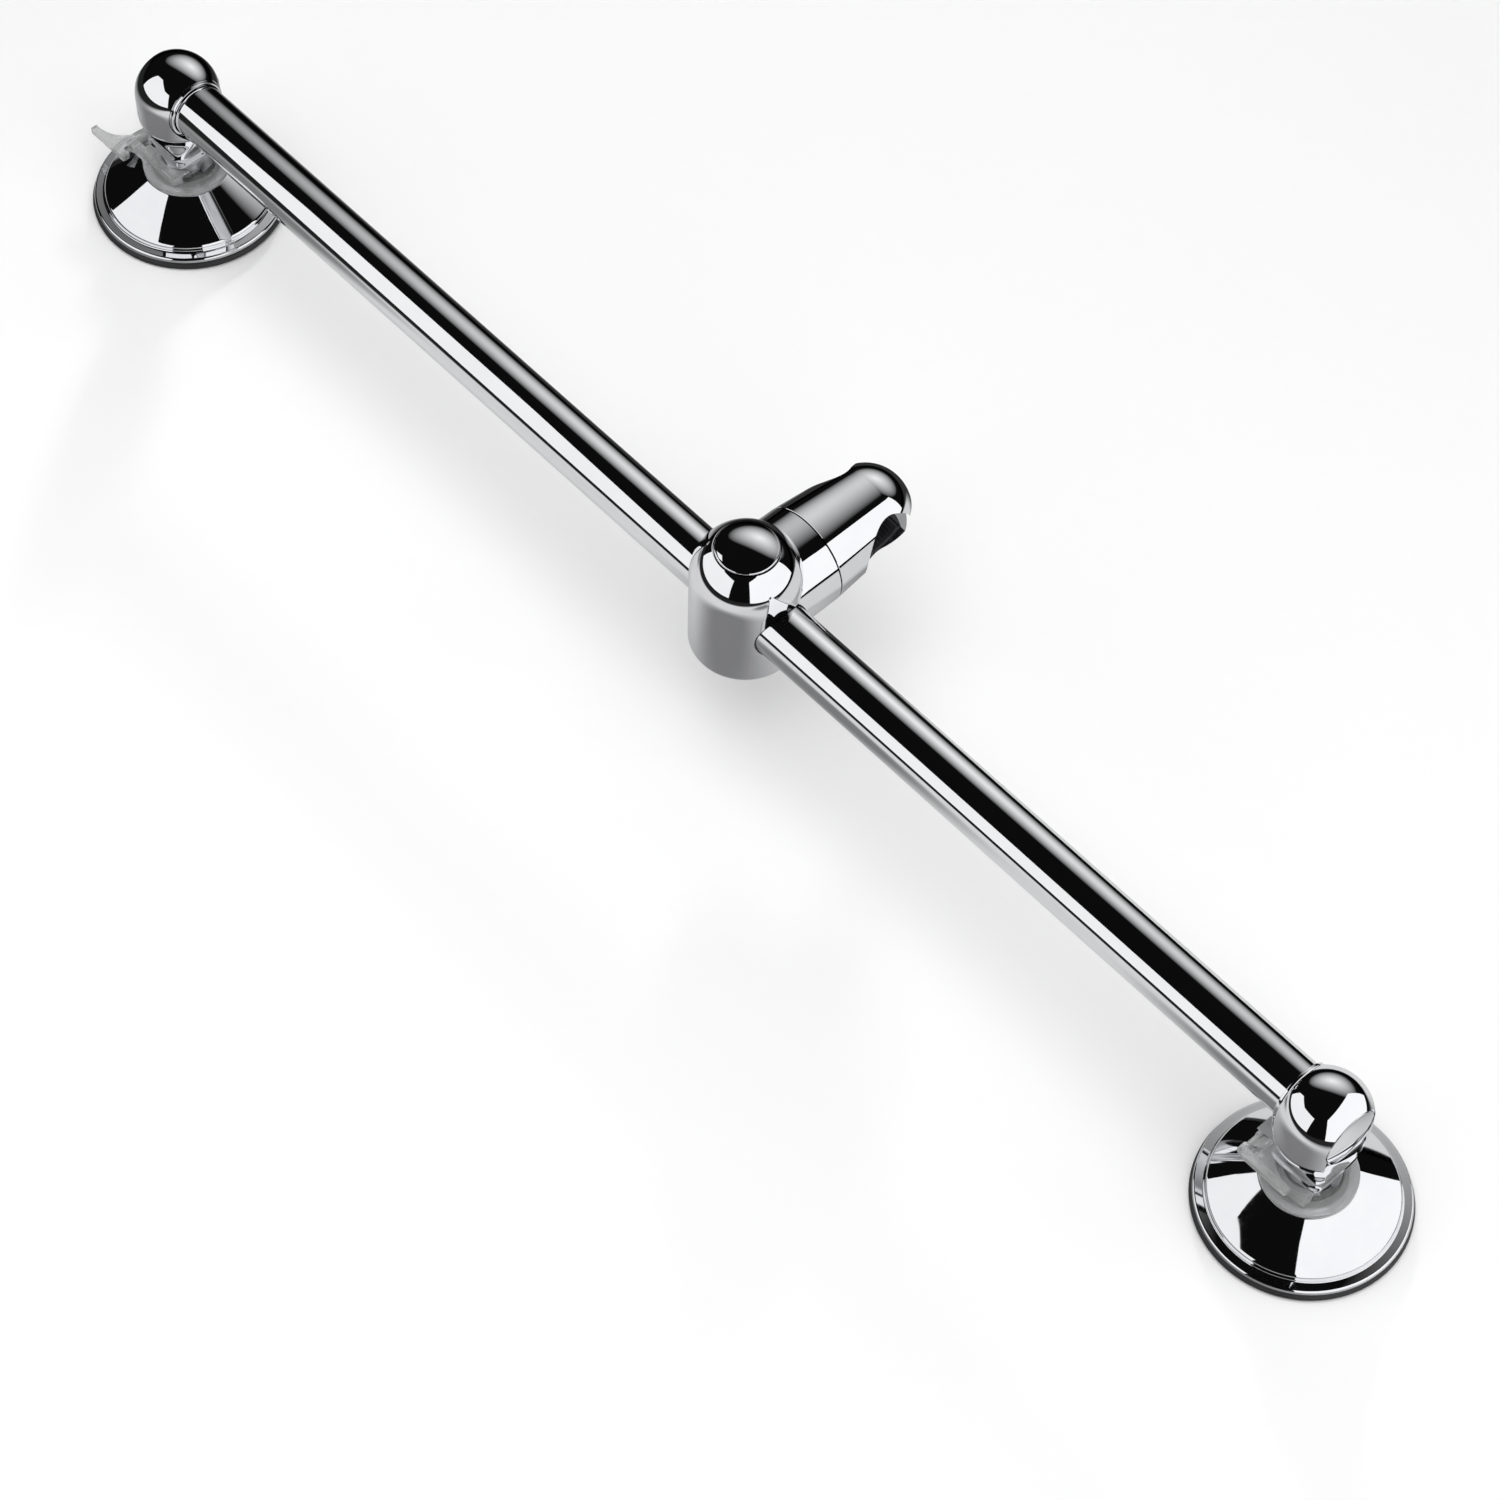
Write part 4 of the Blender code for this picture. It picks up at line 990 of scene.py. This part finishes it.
def glowMaterial(name, strength, fades):
    # a glowing cloth; one that fades is brightest in its middle and dark at its rim
    material = bpy.data.materials.new(name)
    material.use_nodes = True
    nodes, links = material.node_tree.nodes, material.node_tree.links
    nodes.clear()
    output = nodes.new("ShaderNodeOutputMaterial")
    glow = nodes.new("ShaderNodeEmission")
    glow.inputs["Strength"].default_value = strength
    links.new(glow.outputs["Emission"], output.inputs["Surface"])
    if fades:
        place = nodes.new("ShaderNodeTexCoord")
        length = nodes.new("ShaderNodeVectorMath")
        length.operation = "LENGTH"
        links.new(place.outputs["Object"], length.inputs[0])
        fade = nodes.new("ShaderNodeMapRange")
        fade.inputs["To Min"].default_value = strength
        fade.inputs["To Max"].default_value = 0.0
        links.new(length.outputs["Value"], fade.inputs["Value"])
        links.new(fade.outputs["Result"], glow.inputs["Strength"])
    return material


def hang(name, mesh, strength, fades):
    # seen in the chrome but not by the camera, so that it hides nothing from any side
    card = bpy.data.objects.new(name, mesh)
    bpy.context.scene.collection.objects.link(card)
    mesh.materials.append(glowMaterial(name, strength, fades))
    card.visible_camera = False
    return card


def makeCard(name, corners, strength):
    # a flat softbox given by its corners
    mesh = bpy.data.meshes.new(name)
    mesh.from_pydata([Vector(c) for c in corners], [], [tuple(range(len(corners)))])
    hang(name, mesh, strength, False)


def makeRound(name, place, target, size, strength):
    bm = bmesh.new()
    bmesh.ops.create_circle(bm, cap_ends=True, radius=1, segments=64)
    mesh = bpy.data.meshes.new(name)
    bm.to_mesh(mesh)
    bm.free()
    card = hang(name, mesh, strength, True)
    card.location = place
    card.rotation_euler = (Vector(target) - Vector(place)).to_track_quat("Z", "Y").to_euler()
    card.scale = (size[0], size[1], 1)


def makeLamp(name, place, target, size, power):
    # a broad lamp that lights the floor but isn't mirrored in the chrome
    data = bpy.data.lights.new(name, "AREA")
    data.shape = "SQUARE"
    data.size = size
    data.energy = power
    lamp = bpy.data.objects.new(name, data)
    bpy.context.scene.collection.objects.link(lamp)
    lamp.location = place
    lamp.rotation_euler = (Vector(target) - Vector(place)).to_track_quat("-Z", "Y").to_euler()
    lamp.visible_glossy = False
    lamp.visible_transmission = False


# tones of the floor, and the distances in metres over which its mirrored tone changes; the mirrored tone is a
# painted reflection, with painted shadow near the slider and feet, painted dark behind and far off, and a
# painted light patch to one side
floor = {
    "size": 6.0, "pale": 0.94, "mirrored": 0.68, "shaded": 0.21, "back": 0.05, "far": 0.03,
    "shadeBehind": 0.075, "shadeFrom": (0.03, 0.11), "paintedDarkBehindFrom": (0.0, 0.10), "paintedDarkFarFrom": (0.36, 0.50),
    "paintedLightAt": (0.17, 0.14), "paintedLightFrom": (0.13, 0.19),
}


def paintedReflectionShade(nodes, links, place):
    # painted reflection of the floor, seen only in the chrome: painted shadow near the feet and the slider,
    # painted dark far off and behind, and a painted light patch to one side
    def ramp(source, span, low, high):
        made = nodes.new("ShaderNodeMapRange")
        made.interpolation_type = "SMOOTHSTEP"
        made.inputs["From Min"].default_value, made.inputs["From Max"].default_value = span
        made.inputs["To Min"].default_value = low
        made.inputs["To Max"].default_value = high
        links.new(source, made.inputs["Value"])
        return made.outputs["Result"]

    def gap(point):
        made = nodes.new("ShaderNodeVectorMath")
        made.operation = "DISTANCE"
        made.inputs[1].default_value = point
        links.new(place.outputs["Object"], made.inputs[0])
        return made.outputs["Value"]

    def joined(operation, first, second):
        made = nodes.new("ShaderNodeMath")
        made.operation = operation
        links.new(first, made.inputs[0])
        links.new(second, made.inputs[1])
        return made.outputs[0]

    centre = sliderMiddle * mm
    shadeY = centre.y - floor["shadeBehind"]
    near = gap((centre.x + 0.02, shadeY, 0))
    for side in ("far", "near"):
        near = joined("MINIMUM", near, gap((footX[side] * mm - 0.01, shadeY, 0)))
    # painted shadow in the floor's reflection around the slider and both feet, shifted towards -Y
    shade = ramp(near, floor["shadeFrom"], floor["shaded"], floor["mirrored"])
    parts = nodes.new("ShaderNodeSeparateXYZ")
    links.new(place.outputs["Object"], parts.inputs[0])
    # painted dark in the floor's reflection towards +Y and far from the slider
    back = ramp(parts.outputs["Y"], floor["paintedDarkBehindFrom"], 1.0, floor["back"])
    far = ramp(gap((centre.x, centre.y, 0)), floor["paintedDarkFarFrom"], 1.0, floor["far"])
    # a painted light patch in the floor's reflection, off to one side of the slider
    besideX, besideY = floor["paintedLightAt"]
    beside = ramp(gap((centre.x + besideX, besideY, 0)), floor["paintedLightFrom"], 1.0, 0.0)
    lit = joined("MAXIMUM", joined("MULTIPLY", back, far), beside)
    return joined("MULTIPLY", shade, lit)


def makeFloor():
    bm = bmesh.new()
    bmesh.ops.create_grid(bm, x_segments=8, y_segments=8, size=floor["size"] / 2)
    mesh = bpy.data.meshes.new("floor")
    bm.to_mesh(mesh)
    bm.free()
    plane = bpy.data.objects.new("floor", mesh)
    bpy.context.scene.collection.objects.link(plane)
    plane.location.z = -0.0002
    material = bpy.data.materials.new("paleFloorPaintedReflection")
    material.use_nodes = True
    nodes, links = material.node_tree.nodes, material.node_tree.links
    nodes.clear()
    output = nodes.new("ShaderNodeOutputMaterial")
    place = nodes.new("ShaderNodeTexCoord")
    # glossy rays see the painted reflection tone, all other rays the plain pale floor
    path = nodes.new("ShaderNodeLightPath")
    tone = nodes.new("ShaderNodeMix")
    tone.data_type = "FLOAT"
    tone.inputs["A"].default_value = floor["pale"]
    links.new(paintedReflectionShade(nodes, links, place), tone.inputs["B"])
    links.new(path.outputs["Is Glossy Ray"], tone.inputs["Factor"])
    matt = nodes.new("ShaderNodeBsdfDiffuse")
    links.new(tone.outputs["Result"], matt.inputs["Color"])
    links.new(matt.outputs["BSDF"], output.inputs["Surface"])
    mesh.materials.append(material)


studio = {
    "left": {"strength": 1.0, "corners": (
        (-0.569, -0.204, 0.07), (0.372, -1.291, 0.10), (0.372, -1.291, 1.10), (-0.193, -0.639, 0.62),
        (-0.475, -0.313, 0.60), (-0.569, -0.204, 0.40))},
    "right": {"strength": 1.1, "corners": (
        (0.904, -0.659, 0.02), (0.444, 0.632, 0.0), (0.444, 0.632, 0.62), (0.904, -0.659, 1.0))},
    "round": {"place": (-0.50, 1.20, 1.05), "target": (0, 0, 0.05), "size": (1.7, 1.1), "strength": 1.0},
    "key": {"place": (-0.91, 1.30, 0.85), "target": (0, 0, 0), "size": 0.7, "power": 134},
    "fill": {"place": (0.3, -0.2, 3.0), "target": (0, 0, 0), "size": 4.0, "power": 103},
    "surroundings": 0.004,
}


def makeStage():
    makeFloor()
    makeCard("softboxLeft", **studio["left"])
    makeCard("softboxRight", **studio["right"])
    makeRound("softRound", **studio["round"])
    makeLamp("keyLamp", **studio["key"])
    makeLamp("fillLamp", **studio["fill"])
    world = bpy.data.worlds.new("studio")
    world.use_nodes = True
    tone = studio["surroundings"]
    world.node_tree.nodes["Background"].inputs["Color"].default_value = (tone, tone, tone, 1)
    bpy.context.scene.world = world
    bpy.context.scene.view_settings.view_transform = "Standard"


makeCamera()
makeStage()
print("stage set")
